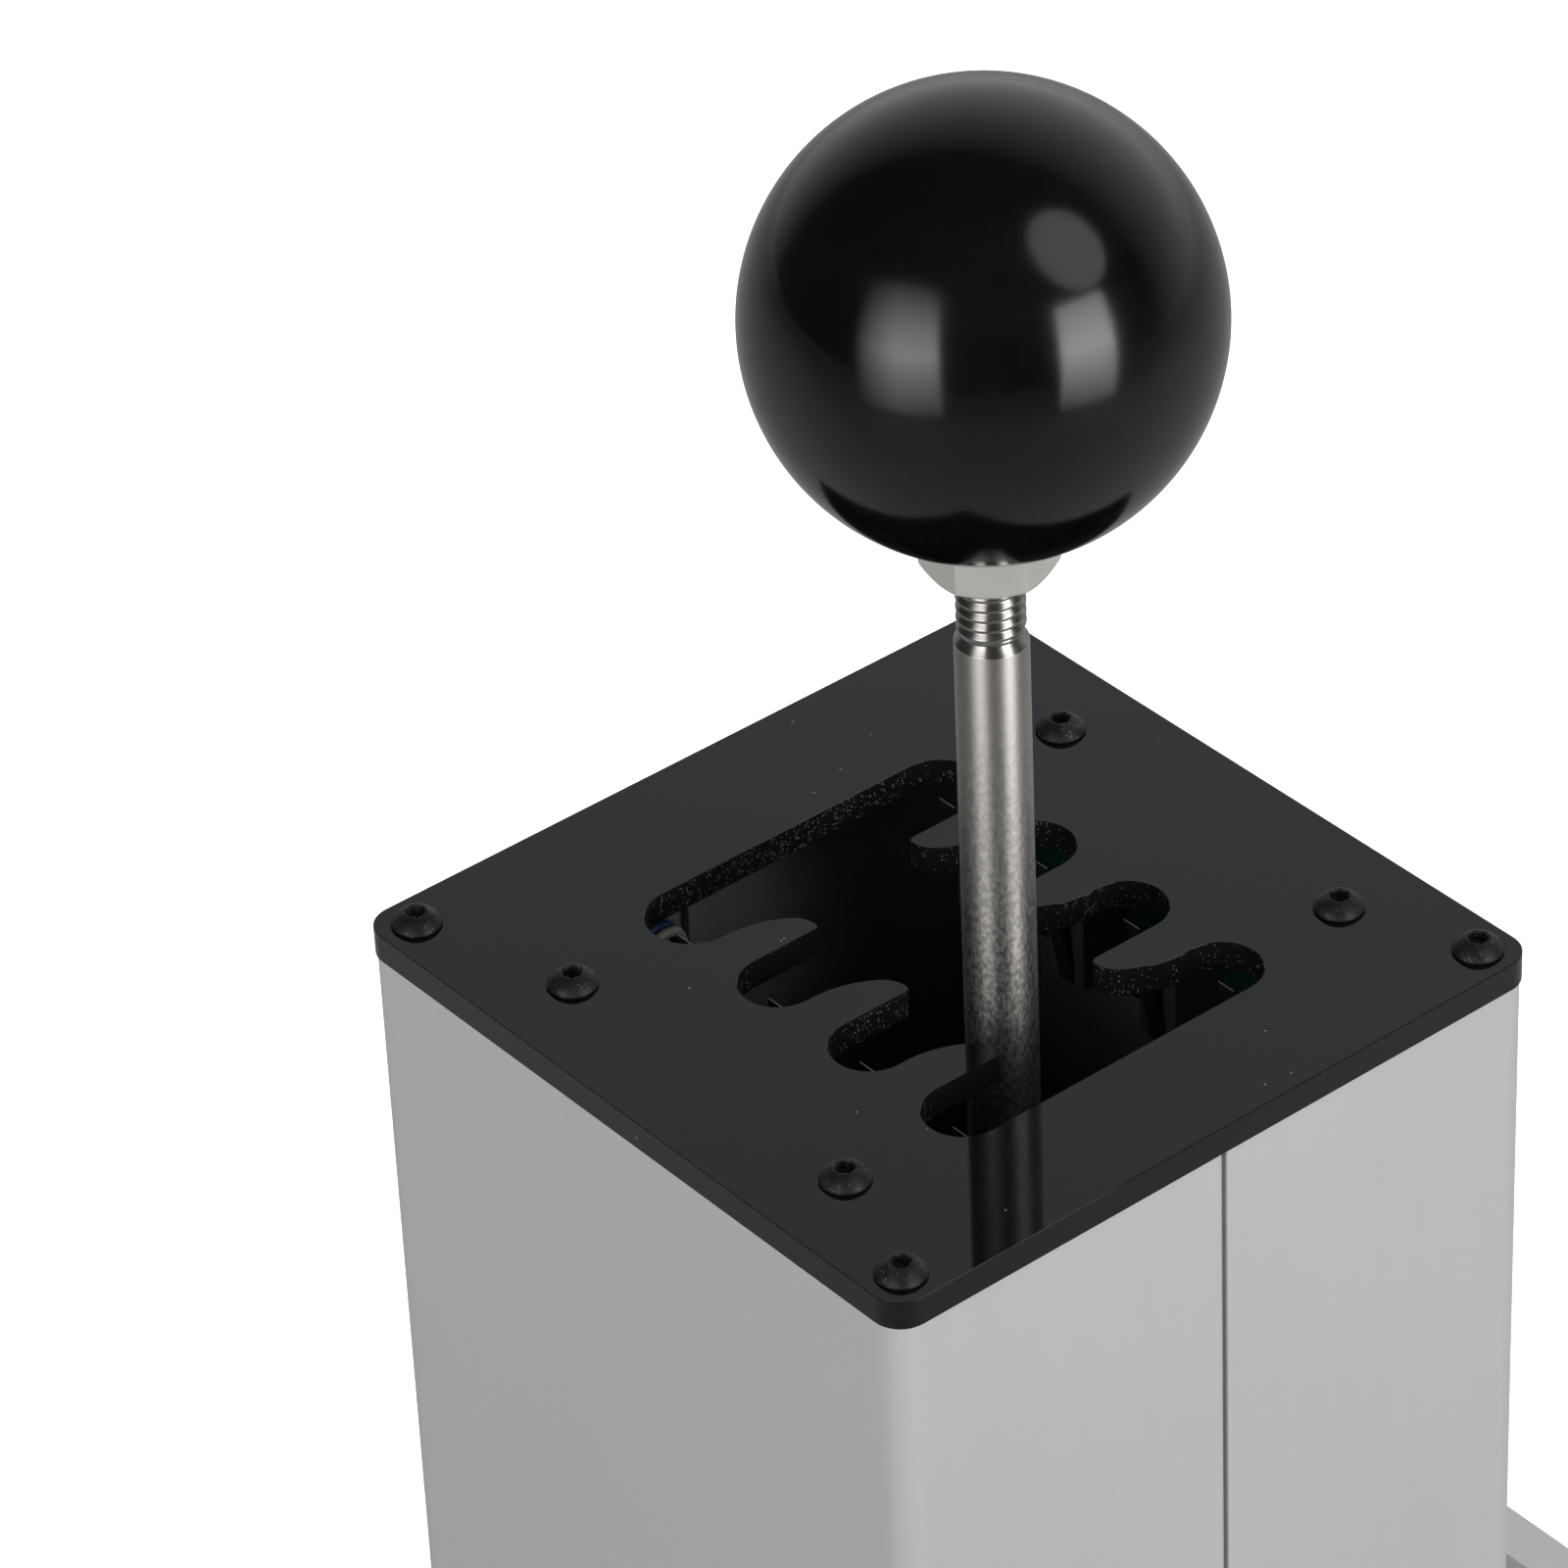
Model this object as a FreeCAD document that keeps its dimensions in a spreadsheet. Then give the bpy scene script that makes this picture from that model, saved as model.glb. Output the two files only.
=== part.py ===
import FreeCAD, Part
import Sketcher
import math
import os
import re

# H-pattern gear shifter for a driving simulator: a gate plate on a split box,
# a lever on a two-axis gimbal, and eight switches at the ends of the four gate columns.
#
# Frame: origin at the centre of the underside of the base plate, +Z up, +Y towards the
# driver, +X towards the driver's left. Lengths are in millimetres, angles in degrees.

Vector = FreeCAD.Vector
Rotation = FreeCAD.Rotation

# Every driving size: its name, its value and what it measures.
SIZES = (
    ("fit_gap", 0.02, "radial gap of a pressed or screwed fit"),
    ("running_gap", 0.05, "radial gap of a pin that turns in its bush"),
    ("seat_gap", 0.3, "gap between curved faces of pieces that move past each other"),
    ("side_play", 0.4, "gap beside a part that turns between two cheeks"),
    ("overcut", 1.0, "how far a cutting shape runs past the face it opens"),
    ("tip_gap", 1.0, "screw tip short of the far side of what it holds"),
    ("plate_width", 90.0, "side of the square gate plate"),
    ("drawn_width", 90.0, "side of the plate for which the gate's sizes below are given"),
    ("plate_thickness", 3.5, "thickness of the gate plate"),
    ("plate_corner", 3.5, "corner radius of the gate plate"),
    ("screw_inset", 4.4, "corner screw to the edge of the gate plate"),
    ("drawn_screw_left", 20.5, "inner screws, distance from the middle on the -X side"),
    ("drawn_screw_right", 25.0, "inner screws, distance from the middle on the +X side"),
    ("drawn_reverse", -21.4, "X of the wide column, seventh gear and reverse"),
    ("drawn_second", -5.8, "X of the column of fifth and sixth gear"),
    ("drawn_rest", 9.35, "X of the column of third and fourth gear, where the lever rests"),
    ("drawn_first", 24.45, "X of the column of first and second gear"),
    ("column_width", 9.1, "width of three of the columns"),
    ("reverse_width", 10.4, "width of the wide column"),
    ("gate_reach", 22.8, "centre of the gate to the end of a column"),
    ("channel_half", 8.7, "centre of the gate to the tips of its fingers"),
    ("finger_tip", 0.8, "radius of the sharp corner at a finger's tip"),
    ("finger_nose", 3.4, "radius of the rounded side of a finger near its tip"),
    ("finger_rise", 8.8, "height over which the rounded side of a finger curves"),
    ("shell_height", 106.5, "height of the two box shells"),
    ("shell_inset", 0.25, "how far the shells stand back from the plate's edge"),
    ("shell_wall", 2.4, "wall of the shells"),
    ("seam_gap", 0.7, "gap between the two shells"),
    ("lip_thickness", 1.0, "thickness of the strip behind the seam"),
    ("lip_reach", 3.5, "how far the strip runs past the seam"),
    ("lip_gap", 0.15, "gap between the strip and the other shell"),
    ("port_radius", 3.4, "outside radius of the screw ports in the shell corners"),
    ("base_length", 139.0, "length of the base plate along Y"),
    ("base_thickness", 4.0, "thickness of the base plate"),
    ("base_corner", 4.0, "corner radius of the base plate"),
    ("slot_length", 24.0, "mounting slot, end to end"),
    ("slot_width", 6.4, "mounting slot, width"),
    ("slot_land", 6.1, "mounting slot to the end of the base plate"),
    ("slot_spacing", 48.0, "mounting slot centres along X"),
    ("small_screw", 1.5, "radius of the small screws"),
    ("small_screw_gap", 0.2, "gap around a small screw in its clearance hole"),
    ("small_head", 2.85, "head radius of the small screws"),
    ("small_head_height", 1.65, "head height of the small screws"),
    ("small_head_rim", 0.3, "rim height of the small screw heads"),
    ("small_head_flat", 1.25, "radius of the flat on top of the small heads"),
    ("small_socket", 1.0, "half the width of the small hexagon sockets"),
    ("small_socket_depth", 1.04, "depth of the small hexagon sockets"),
    ("corner_screw_length", 10.0, "length of the gate plate's corner screws"),
    ("bracket_screw_length", 8.0, "length of the gate plate's inner screws"),
    ("base_screw_length", 10.0, "length of the base screws, head included"),
    ("base_screw_head", 2.9, "head radius of the base screws"),
    ("base_screw_head_height", 1.7, "head height of the base screws"),
    ("short_screw_length", 4.5, "length of the board and detent screws"),
    ("nut_half", 2.75, "half the width across flats of the small nuts"),
    ("nut_height", 2.4, "height of the small nuts"),
    ("nut_gap", 0.15, "gap between a nut's flat and the bracket's web"),
    ("tiny_screw", 1.0, "radius of the switch board screws"),
    ("tiny_head", 1.9, "head radius of the switch board screws"),
    ("tiny_head_height", 1.2, "head height of the switch board screws"),
    ("tiny_socket", 0.5, "half the width of the sockets of the switch board screws"),
    ("tiny_socket_depth", 0.6, "depth of the sockets of the switch board screws"),
    ("bracket_thickness", 2.0, "thickness of the switch brackets' top flange"),
    ("bracket_web", 1.5, "thickness of the switch brackets' hanging web"),
    ("bracket_depth", 8.8, "depth of the top flange along Y"),
    ("bracket_drop", 22.0, "height of the hanging web below the gate plate"),
    ("drawn_bracket_left", 31.0, "bracket end on the -X side"),
    ("drawn_bracket_right", 35.0, "bracket end on the +X side"),
    ("board_thickness", 1.6, "thickness of the circuit boards"),
    ("switch_board_drop", 2.5, "gate plate to the top edge of a switch board"),
    ("switch_board_height", 18.0, "height of a switch board"),
    ("switch_board_end", 1.0, "switch board end inside its bracket's end"),
    ("switch_length", 12.8, "long side of a switch, upright"),
    ("switch_width", 5.8, "width of a switch along X"),
    ("switch_depth", 6.5, "depth of a switch along Y"),
    ("switch_drop", 4.2, "gate plate to the top of a switch"),
    ("drawn_switch_face", 22.4, "distance of the switch faces from the middle"),
    ("button_radius", 0.9, "radius of a switch button"),
    ("button_travel", 0.7, "how far a switch button stands out"),
    ("button_height", 4.5, "button below the top of its switch"),
    ("leaf_width", 2.6, "width of a switch leaf along X"),
    ("leaf_thickness", 0.25, "thickness of a switch leaf"),
    ("drawn_leaf_tip", 18.7, "distance of the leaf tips from the middle"),
    ("leaf_rise", 0.8, "tip of a leaf above the underside of the gate plate"),
    ("leaf_foot", 1.2, "length of the leaf's foot on the switch face"),
    ("pivot_height", 26.0, "height of the gimbal's centre above the underside"),
    ("frame_sheet", 3.0, "sheet thickness of the pivot frame"),
    ("frame_half", 18.0, "half the width of the pivot frame along X"),
    ("frame_inside", 24.0, "middle to the inner face of a cheek"),
    ("cheek_half", 10.0, "half the width of a cheek"),
    ("frame_screw", 2.0, "radius of the frame screws"),
    ("frame_screw_head", 3.5, "head radius of the frame screws"),
    ("frame_screw_head_height", 2.2, "head height of the frame screws"),
    ("frame_screw_x", 14.0, "frame screws, distance from the pivot along X"),
    ("frame_screw_y", 19.5, "frame screws, distance from the middle along Y"),
    ("side_pin", 3.0, "radius of the two pins of the side-to-side axis"),
    ("side_pin_head", 4.6, "head radius of those pins"),
    ("side_pin_head_height", 2.0, "head height of those pins"),
    ("side_pin_socket", 1.75, "half the width of the sockets of those pins"),
    ("side_pin_socket_depth", 1.0, "depth of the sockets of those pins"),
    ("bush_wall", 1.5, "wall of the gimbal bushes"),
    ("bush_flange", 1.0, "flange thickness and flange width of the bushes"),
    ("clip_width", 1.6, "width of the ring of a retaining clip"),
    ("clip_thickness", 0.8, "thickness of a retaining clip"),
    ("clip_opening", 1.4, "half the opening of a retaining clip"),
    ("pin_end", 0.8, "length of a pin past its clip"),
    ("yoke_half_width", 17.0, "half the width of the yoke along X"),
    ("yoke_height", 12.0, "height of the yoke"),
    ("yoke_side_wall", 4.0, "wall of the yoke that the cross pin passes"),
    ("yoke_end_wall", 5.0, "wall of the yoke that holds the side bushes"),
    ("cross_pin", 2.5, "radius of the pin of the fore-and-aft axis"),
    ("block_half_depth", 8.0, "half the depth of the lever block along Y"),
    ("block_above", 14.0, "lever block above the pivot"),
    ("block_below", 9.0, "lever block below the pivot"),
    ("block_bush", 7.0, "length of a bush in the lever block"),
    ("rod_foot", 5.0, "bottom of the rod above the pivot"),
    ("grub_screw", 2.0, "radius of the grub screws"),
    ("grub_socket", 1.0, "half the width of the grub screws' socket"),
    ("grub_socket_depth", 1.6, "depth of the grub screws' socket"),
    ("rod_grub_height", 9.5, "height of the rod's grub screw above the pivot"),
    ("rod_radius", 4.0, "radius of the shift rod"),
    ("shoulder_rise", 43.8, "gate plate to the shoulder of the rod"),
    ("shoulder_height", 0.9, "height of the shoulder's chamfer"),
    ("thread_rise", 45.6, "gate plate to the first thread crest"),
    ("thread_crest", 3.9, "radius of the thread crests"),
    ("thread_root", 3.3, "radius of the thread roots"),
    ("thread_pitch", 1.25, "pitch of the thread"),
    ("nut_rise", 52.8, "gate plate to the jam nut"),
    ("jam_nut_half", 6.5, "half the width across flats of the jam nut"),
    ("jam_nut_height", 6.8, "height of the jam nut"),
    ("jam_nut_chamfer", 0.9, "height of the jam nut's chamfer"),
    ("knob_radius", 25.0, "radius of the ball knob"),
    ("knob_flat", 2.0, "how much the flat takes off the ball"),
    ("insert_radius", 6.0, "radius of the threaded insert"),
    ("insert_length", 20.0, "length of the threaded insert"),
    ("rod_end_gap", 2.0, "top of the rod to the end of the insert"),
    ("housing_radius", 4.0, "radius of the plunger housing"),
    ("housing_top", 4.8, "top of the plunger housing below the pivot"),
    ("housing_roof", 1.4, "roof of the plunger housing"),
    ("plunger_radius", 2.4, "radius of the detent plunger and its tip"),
    ("plunger_length", 7.0, "length of the detent plunger"),
    ("plunger_nose", 3.0, "how far the plunger stands out of its housing"),
    ("detent_floor", 2.0, "detent plate's underside to the tip of the plunger"),
    ("plunger_spring_wire", 0.6, "wire of the plunger spring"),
    ("detent_half_width", 8.8, "half the width of the detent plate along X"),
    ("detent_half_length", 17.0, "half the length of the detent plate along Y"),
    ("detent_height", 4.0, "height of the detent plate"),
    ("detent_screw_y", 13.0, "detent plate screws from the middle along Y"),
    ("notch_radius", 2.7, "radius of the gear notches in the detent plate"),
    ("notch_depth", 0.6, "depth of the gear notches"),
    ("throw_angle", 10.9, "fore-and-aft angle of the lever in gear"),
    ("spring_radius", 2.9, "outside radius of the centring springs"),
    ("spring_wire", 0.7, "wire of the centring springs"),
    ("peg_height", 2.5, "pegs that hold the centring springs"),
    ("control_board_x", -24.0, "middle of the control board along X"),
    ("control_board_width", 24.0, "width of the control board"),
    ("control_board_gap", 1.35, "front edge of the control board to the shell's wall"),
    ("control_board_length", 50.0, "length of the control board"),
    ("standoff_height", 5.0, "height of the board standoffs"),
    ("standoff_half", 2.6, "half the width across flats of the standoffs"),
    ("board_hole_inset", 3.2, "board screws from the long edges"),
    ("board_hole_front", 20.0, "front board screws from the front edge"),
    ("board_hole_back", 3.5, "rear board screws from the rear edge"),
    ("socket_width", 12.0, "width of the cable socket"),
    ("socket_height", 11.0, "height of the cable socket"),
    ("socket_depth", 16.0, "depth of the cable socket"),
    ("socket_wall", 0.8, "wall of the cable socket"),
    ("socket_floor", 5.0, "thickness of the cable socket's back"),
    ("socket_opening_gap", 0.3, "gap between the cable socket and the shell"),
    ("socket_inset", 0.3, "mouth of the cable socket behind the shell's face"),
    ("tongue_half", 2.6, "half the width of the tongue in the cable socket"),
    ("tongue_thickness", 3.0, "thickness of that tongue"),
    ("tongue_inset", 1.0, "mouth of the cable socket to the front of its tongue"),
    ("chip_side", 10.0, "side of the controller chip"),
    ("chip_height", 1.6, "height of the controller chip"),
    ("chip_row", 10.0, "controller chip behind the middle of its board"),
    ("header_row", 2.0, "first wire header behind the middle of the control board"),
    ("header_width", 5.2, "width of a wire header"),
    ("header_depth", 6.0, "depth of a wire header"),
    ("header_height", 5.0, "height of a wire header"),
    ("header_drop", 4.5, "gate plate to the middle of a switch board's header"),
    ("header_gap", 0.5, "gap between a switch board's header and its next switch"),
    ("header_edge", 5.2, "middle of the left header on the control board from the board's edge"),
    ("wire_radius", 0.6, "radius of a wire"),
    ("wire_spacing", 1.6, "distance between the two wires of a pair"),
    ("wire_bend", 4.5, "bend radius of the wires"),
    ("wire_exit", 7.5, "how far the rear wires run out of their header before they turn"),
    ("wire_stub", 2.0, "straight start of the front wires"),
    ("wire_crest", 5.0, "header of the front wires to where they are highest"),
    ("wire_crest_rise", 2.2, "height of the front wires there above their header"),
    ("wire_over", 9.5, "header of the front wires to where they turn down"),
    ("wire_over_rise", 1.0, "height of the front wires there above their header"),
    ("wire_lean", 0.8, "how far the front wires lean aside there"),
    ("wire_stand", 13.5, "height over which the front wires stand up from their plug"),
    ("wire_arch", 9.0, "height over which the rear wires stand up from their plug"),
    ("wire_run", 13.5, "level run of the rear wires behind their plug"),
    ("wire_aside", 7.2, "rear wires beside the floor of the pivot frame"),
    ("wire_low", 4.8, "rear wires above the floor of the pivot frame"),
    ("wire_behind", 4.8, "rear wires behind the cheek of the pivot frame"),
)

# Sizes that follow from the driving ones.
DERIVED = (
    ("half_plate", "plate_width / 2"),
    ("gate_scale", "plate_width / drawn_width"),
    ("reverse_column", "drawn_reverse * gate_scale"),
    ("second_column", "drawn_second * gate_scale"),
    ("rest_column", "drawn_rest * gate_scale"),
    ("first_column", "drawn_first * gate_scale"),
    ("bracket_screw_left", "drawn_screw_left * gate_scale"),
    ("bracket_screw_right", "drawn_screw_right * gate_scale"),
    ("bracket_left", "drawn_bracket_left * gate_scale"),
    ("bracket_right", "drawn_bracket_right * gate_scale"),
    ("switch_face", "drawn_switch_face * gate_scale"),
    ("leaf_tip", "drawn_leaf_tip * gate_scale"),
    ("corner_screw", "plate_width / 2 - screw_inset"),
    ("plate_bottom", "base_thickness + shell_height"),
    ("plate_top", "plate_bottom + plate_thickness"),
    ("half_shell", "plate_width / 2 - shell_inset"),
    ("half_inside", "half_shell - shell_wall"),
    ("half_base", "base_length / 2"),
    ("slot_row", "half_base - slot_land - slot_width / 2"),
    ("clear_hole", "small_screw + small_screw_gap"),
    ("tapped_hole", "small_screw + fit_gap"),
    ("flange_bottom", "plate_bottom - bracket_thickness"),
    ("board_back", "switch_face + switch_depth + board_thickness"),
    ("board_face", "board_back - board_thickness"),
    ("bracket_screw_row", "board_back + bracket_web + nut_half + nut_gap"),
    ("switch_top", "plate_bottom - switch_drop"),
    ("switch_bottom", "switch_top - switch_length"),
    ("leaf_top", "plate_bottom + leaf_rise"),
    ("switch_screw_z", "switch_bottom + switch_length / 2"),
    ("web_top", "base_thickness + frame_sheet"),
    ("cheek_outside", "frame_inside + frame_sheet"),
    ("bush_radius", "side_pin + running_gap + bush_wall"),
    ("cross_bush_radius", "cross_pin + running_gap + bush_wall"),
    ("yoke_half_length", "frame_inside - side_play - bush_flange"),
    ("yoke_inside", "yoke_half_length - yoke_end_wall"),
    ("yoke_gap", "yoke_half_width - yoke_side_wall"),
    ("spring_offset", "yoke_half_width - yoke_side_wall / 2"),
    ("block_half_width", "yoke_gap - side_play - bush_flange"),
    ("shoulder", "plate_top + shoulder_rise - pivot_height"),
    ("thread_start", "plate_top + thread_rise - pivot_height"),
    ("nut_bottom", "plate_top + nut_rise - pivot_height"),
    ("nut_top", "nut_bottom + jam_nut_height"),
    ("knob_centre", "nut_top + knob_radius - knob_flat"),
    ("rod_top", "nut_top + insert_length - rod_end_gap"),
    ("web_depth", "pivot_height - web_top"),
    ("plunger_reach", "web_depth - detent_floor"),
    ("plunger_top", "plunger_reach - plunger_length"),
    ("housing_bottom", "plunger_reach - plunger_nose"),
    ("dish_radius", "plunger_reach + seat_gap"),
    ("notch_axis", "dish_radius + notch_depth - notch_radius"),
    ("spring_bottom", "web_top"),
    ("spring_top", "pivot_height - yoke_height / 2"),
    ("board_bottom", "base_thickness + standoff_height"),
    ("board_top", "board_bottom + board_thickness"),
    ("control_board_front", "half_inside - control_board_gap"),
    ("board_middle", "control_board_length / 2 - control_board_front"),
    ("header_front", "board_face - header_depth"),
    ("header_aside", "(switch_width + header_width) / 2 + header_gap"),
    ("front_header_x", "reverse_column - header_aside"),
    ("rear_header_x", "first_column + header_aside"),
    ("header_z", "plate_bottom - header_drop"),
)

# Crest and root flats of a thread, as a share of its pitch.
THREAD_FLAT = 1 / 8
# Most of a wire's run that the bend at one end may take.
BEND_SHARE = 0.45
# Largest difference allowed between a wire's volume and its length times its section.
TUBE_ERROR = 0.01

doc = FreeCAD.newDocument("gear_shifter")
owners = {}
nodes = []


def make_sheet():
    """Write the driving sizes into the spreadsheet, each with its name."""
    sheet = doc.addObject("Spreadsheet::Sheet", "Sizes")
    for row, (name, value, meaning) in enumerate(SIZES, start=1):
        sheet.set("A%d" % row, name)
        sheet.set("B%d" % row, str(value))
        sheet.set("C%d" % row, meaning)
        sheet.setAlias("B%d" % row, name)
        owners[name] = "Sizes"
    doc.recompute()
    return sheet


def formula(text):
    """Give each size named in a formula the object that holds it."""
    return re.sub(r"[a-z][a-z_]*", lambda word: with_owner(word.group(0)), text)


def with_owner(word):
    return owners[word] + "." + word if word in owners else word


def make_layout():
    """Work out the derived sizes as properties bound to the spreadsheet."""
    layout = doc.addObject("App::VarSet", "Layout")
    for name, text in DERIVED:
        layout.addProperty("App::PropertyFloat", name)
        layout.setExpression(name, formula(text))
        owners[name] = "Layout"
    doc.recompute()
    return layout


size = make_sheet()
layout = make_layout()


def bind(item, name, text):
    item.setExpression(name, formula(str(text)))


def place(item, x="0", y="0", z="0"):
    """Bind the position of a shape."""
    for axis, text in (("x", x), ("y", y), ("z", z)):
        bind(item, "Placement.Base." + axis, text)
    return item


def add(kind):
    return doc.addObject(kind, kind.split("::")[-1].lower())


# Primitive shapes

TURNS = {
    "X": Rotation(Vector(0, 1, 0), 90),
    "Y": Rotation(Vector(1, 0, 0), -90),
    "Z": Rotation(),
}


def box(x, y, z, length, width, height):
    """A block from its lowest corner."""
    block = add("Part::Box")
    bind(block, "Length", length)
    bind(block, "Width", width)
    bind(block, "Height", height)
    return place(block, x, y, z)


def middle_box(x, y, z, length, width, height):
    """A block centred on x and y, standing on z."""
    left = "%s - (%s) / 2" % (x, length)
    front = "%s - (%s) / 2" % (y, width)
    return box(left, front, z, length, width, height)


def cylinder(radius, height, x="0", y="0", z="0", along="Z"):
    rod = add("Part::Cylinder")
    bind(rod, "Radius", radius)
    bind(rod, "Height", height)
    rod.Placement.Rotation = TURNS[along]
    return place(rod, x, y, z)


def cone(low_radius, high_radius, height, x="0", y="0", z="0"):
    taper = add("Part::Cone")
    bind(taper, "Radius1", low_radius)
    bind(taper, "Radius2", high_radius)
    bind(taper, "Height", height)
    return place(taper, x, y, z)


def sphere(radius, x="0", y="0", z="0"):
    ball = add("Part::Sphere")
    bind(ball, "Radius", radius)
    return place(ball, x, y, z)


def hexagon(half_width, height, x="0", y="0", z="0", along="Z"):
    """A hexagonal prism, sized by half its width across flats."""
    prism = add("Part::Prism")
    prism.Polygon = 6
    bind(prism, "Circumradius", "(%s) / cos(30)" % half_width)
    bind(prism, "Height", height)
    prism.Placement.Rotation = TURNS[along]
    return place(prism, x, y, z)


# Booleans and copies

def fuse(*shapes):
    joined = add("Part::MultiFuse")
    joined.Shapes = list(shapes)
    joined.Refine = True
    return joined


def cut(base, *tools):
    result = add("Part::Cut")
    result.Base = base
    result.Tool = tools[0] if len(tools) == 1 else fuse(*tools)
    return result


def common(first, second):
    result = add("Part::Common")
    result.Base = first
    result.Tool = second
    return result


def group(*shapes):
    """Several separate solids as one sub-part."""
    together = add("Part::Compound")
    together.Links = list(shapes)
    return together


def mirror(shape, normal):
    copy = add("Part::Mirroring")
    copy.Source = shape
    copy.Base = Vector(0, 0, 0)
    copy.Normal = normal
    return copy


def both_sides(shape, normal):
    return group(shape, mirror(shape, normal))


ACROSS = Vector(1, 0, 0)
ALONG = Vector(0, 1, 0)


def four_corners(shape):
    return both_sides(both_sides(shape, ACROSS), ALONG)


def node(shape, name):
    """Register a finished sub-part under its name."""
    shape.Label = name
    nodes.append(shape)
    return shape


# Bodies made from sketches

def new_body(name):
    return doc.addObject("PartDesign::Body", name + "_body")


def new_sketch(body, name, role, height="0"):
    """A sketch on one of the body's own origin planes, lifted by height."""
    sketch = body.newObject("Sketcher::SketchObject", name)
    plane = next(item for item in body.Origin.OriginFeatures if item.Role == role)
    sketch.AttachmentSupport = [(plane, "")]
    sketch.MapMode = "FlatFace"
    bind(sketch, "AttachmentOffset.Base.z", height)
    return sketch


def fix(sketch, kind, name, text, *targets):
    """A named dimension of a sketch, bound to a formula."""
    start = 1.0
    index = sketch.addConstraint(Sketcher.Constraint(kind, *targets, start))
    sketch.renameConstraint(index, name)
    bind(sketch, "Constraints." + name, text)


def sketch_rectangle(sketch, name, x, y, width, height):
    """A rectangle from its lowest corner, with bound sides and position."""
    first = sketch.GeometryCount
    corners = [Vector(1, 1, 0), Vector(2, 1, 0), Vector(2, 2, 0), Vector(1, 2, 0)]
    for index in range(4):
        sketch.addGeometry(Part.LineSegment(corners[index], corners[(index + 1) % 4]), False)
    for index in range(4):
        following = first + (index + 1) % 4
        sketch.addConstraint(Sketcher.Constraint("Coincident", first + index, 2, following, 1))
    for index in (0, 2):
        sketch.addConstraint(Sketcher.Constraint("Horizontal", first + index))
        sketch.addConstraint(Sketcher.Constraint("Vertical", first + index + 1))
    fix(sketch, "DistanceX", name + "_width", width, first, 1, first, 2)
    fix(sketch, "DistanceY", name + "_height", height, first + 1, 1, first + 1, 2)
    fix(sketch, "DistanceX", name + "_x", x, -1, 1, first, 1)
    fix(sketch, "DistanceY", name + "_y", y, -1, 1, first, 1)


def sketch_circle(sketch, name, x, y, radius):
    """A circle with bound centre and radius."""
    index = sketch.addGeometry(Part.Circle(Vector(1, 1, 0), Vector(0, 0, 1), 1), False)
    fix(sketch, "Radius", name + "_radius", radius, index)
    fix(sketch, "DistanceX", name + "_x", x, -1, 1, index, 3)
    fix(sketch, "DistanceY", name + "_y", y, -1, 1, index, 3)


def pad(body, sketch, length):
    feature = body.newObject("PartDesign::Pad", sketch.Name + "_pad")
    feature.Profile = sketch
    bind(feature, "Length", length)
    body.Tip = feature
    doc.recompute()
    return feature


def pocket(body, sketch, length):
    """Cut a sketch upwards through the body."""
    feature = body.newObject("PartDesign::Pocket", sketch.Name + "_pocket")
    feature.Profile = sketch
    feature.Reversed = True
    bind(feature, "Length", length)
    body.Tip = feature
    doc.recompute()
    return feature


def round_upright_edges(body, name, radius):
    """Fillet the four outer upright edges of a body's last feature."""
    base = body.Tip
    edges = []
    for index, edge in enumerate(base.Shape.Edges, start=1):
        ends = [vertex.Point for vertex in edge.Vertexes]
        if len(ends) == 2 and abs(ends[0].z - ends[1].z) > size.fit_gap:
            edges.append("Edge%d" % index)
    feature = body.newObject("PartDesign::Fillet", name)
    feature.Base = (base, edges)
    bind(feature, "Radius", radius)
    body.Tip = feature
    doc.recompute()
    return feature


def revolve(body, sketch):
    feature = body.newObject("PartDesign::Revolution", sketch.Name + "_turned")
    feature.Profile = sketch
    feature.ReferenceAxis = (sketch, ["V_Axis"])
    feature.Angle = 360
    body.Tip = feature
    doc.recompute()
    return feature


# The gate

def columns():
    """Left and right side of each gate column, from -X to +X."""
    sides = []
    middles = (size.drawn_reverse, size.drawn_second, size.drawn_rest, size.drawn_first)
    widths = (size.reverse_width, size.column_width, size.column_width, size.column_width)
    for middle, width in zip(middles, widths):
        sides.append((middle - width / 2, middle + width / 2))
    return sides


def finger(left, right):
    """The tip between two columns: a sharp corner on the left, a long curve on the right."""
    tip = size.channel_half
    corner = size.finger_tip
    nose = size.finger_nose
    rise = size.finger_rise
    reach = right - left - corner
    flank = (reach ** 2 + rise ** 2 - 2 * rise * nose) / (2 * (reach - nose))
    start = left + corner
    turn = math.atan2(rise - nose, flank - reach)
    down = math.radians(90)
    nose_centre = Vector(start, tip + nose, 0)
    flank_centre = Vector(right - flank, tip + rise, 0)

    def on(centre, radius, angle):
        return centre + Vector(radius * math.cos(angle), -radius * math.sin(angle), 0)

    corner_centre = Vector(start, tip + corner, 0)
    corner_middle = corner_centre - Vector(corner * math.cos(down / 2), corner * math.sin(down / 2), 0)
    touch = on(nose_centre, nose, turn)
    return [
        Part.Arc(Vector(left, tip + corner, 0), corner_middle, Vector(start, tip, 0)),
        Part.Arc(Vector(start, tip, 0), on(nose_centre, nose, (turn + down) / 2), touch),
        Part.Arc(touch, on(flank_centre, flank, turn / 2), Vector(right, tip + rise, 0)),
    ]


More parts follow.
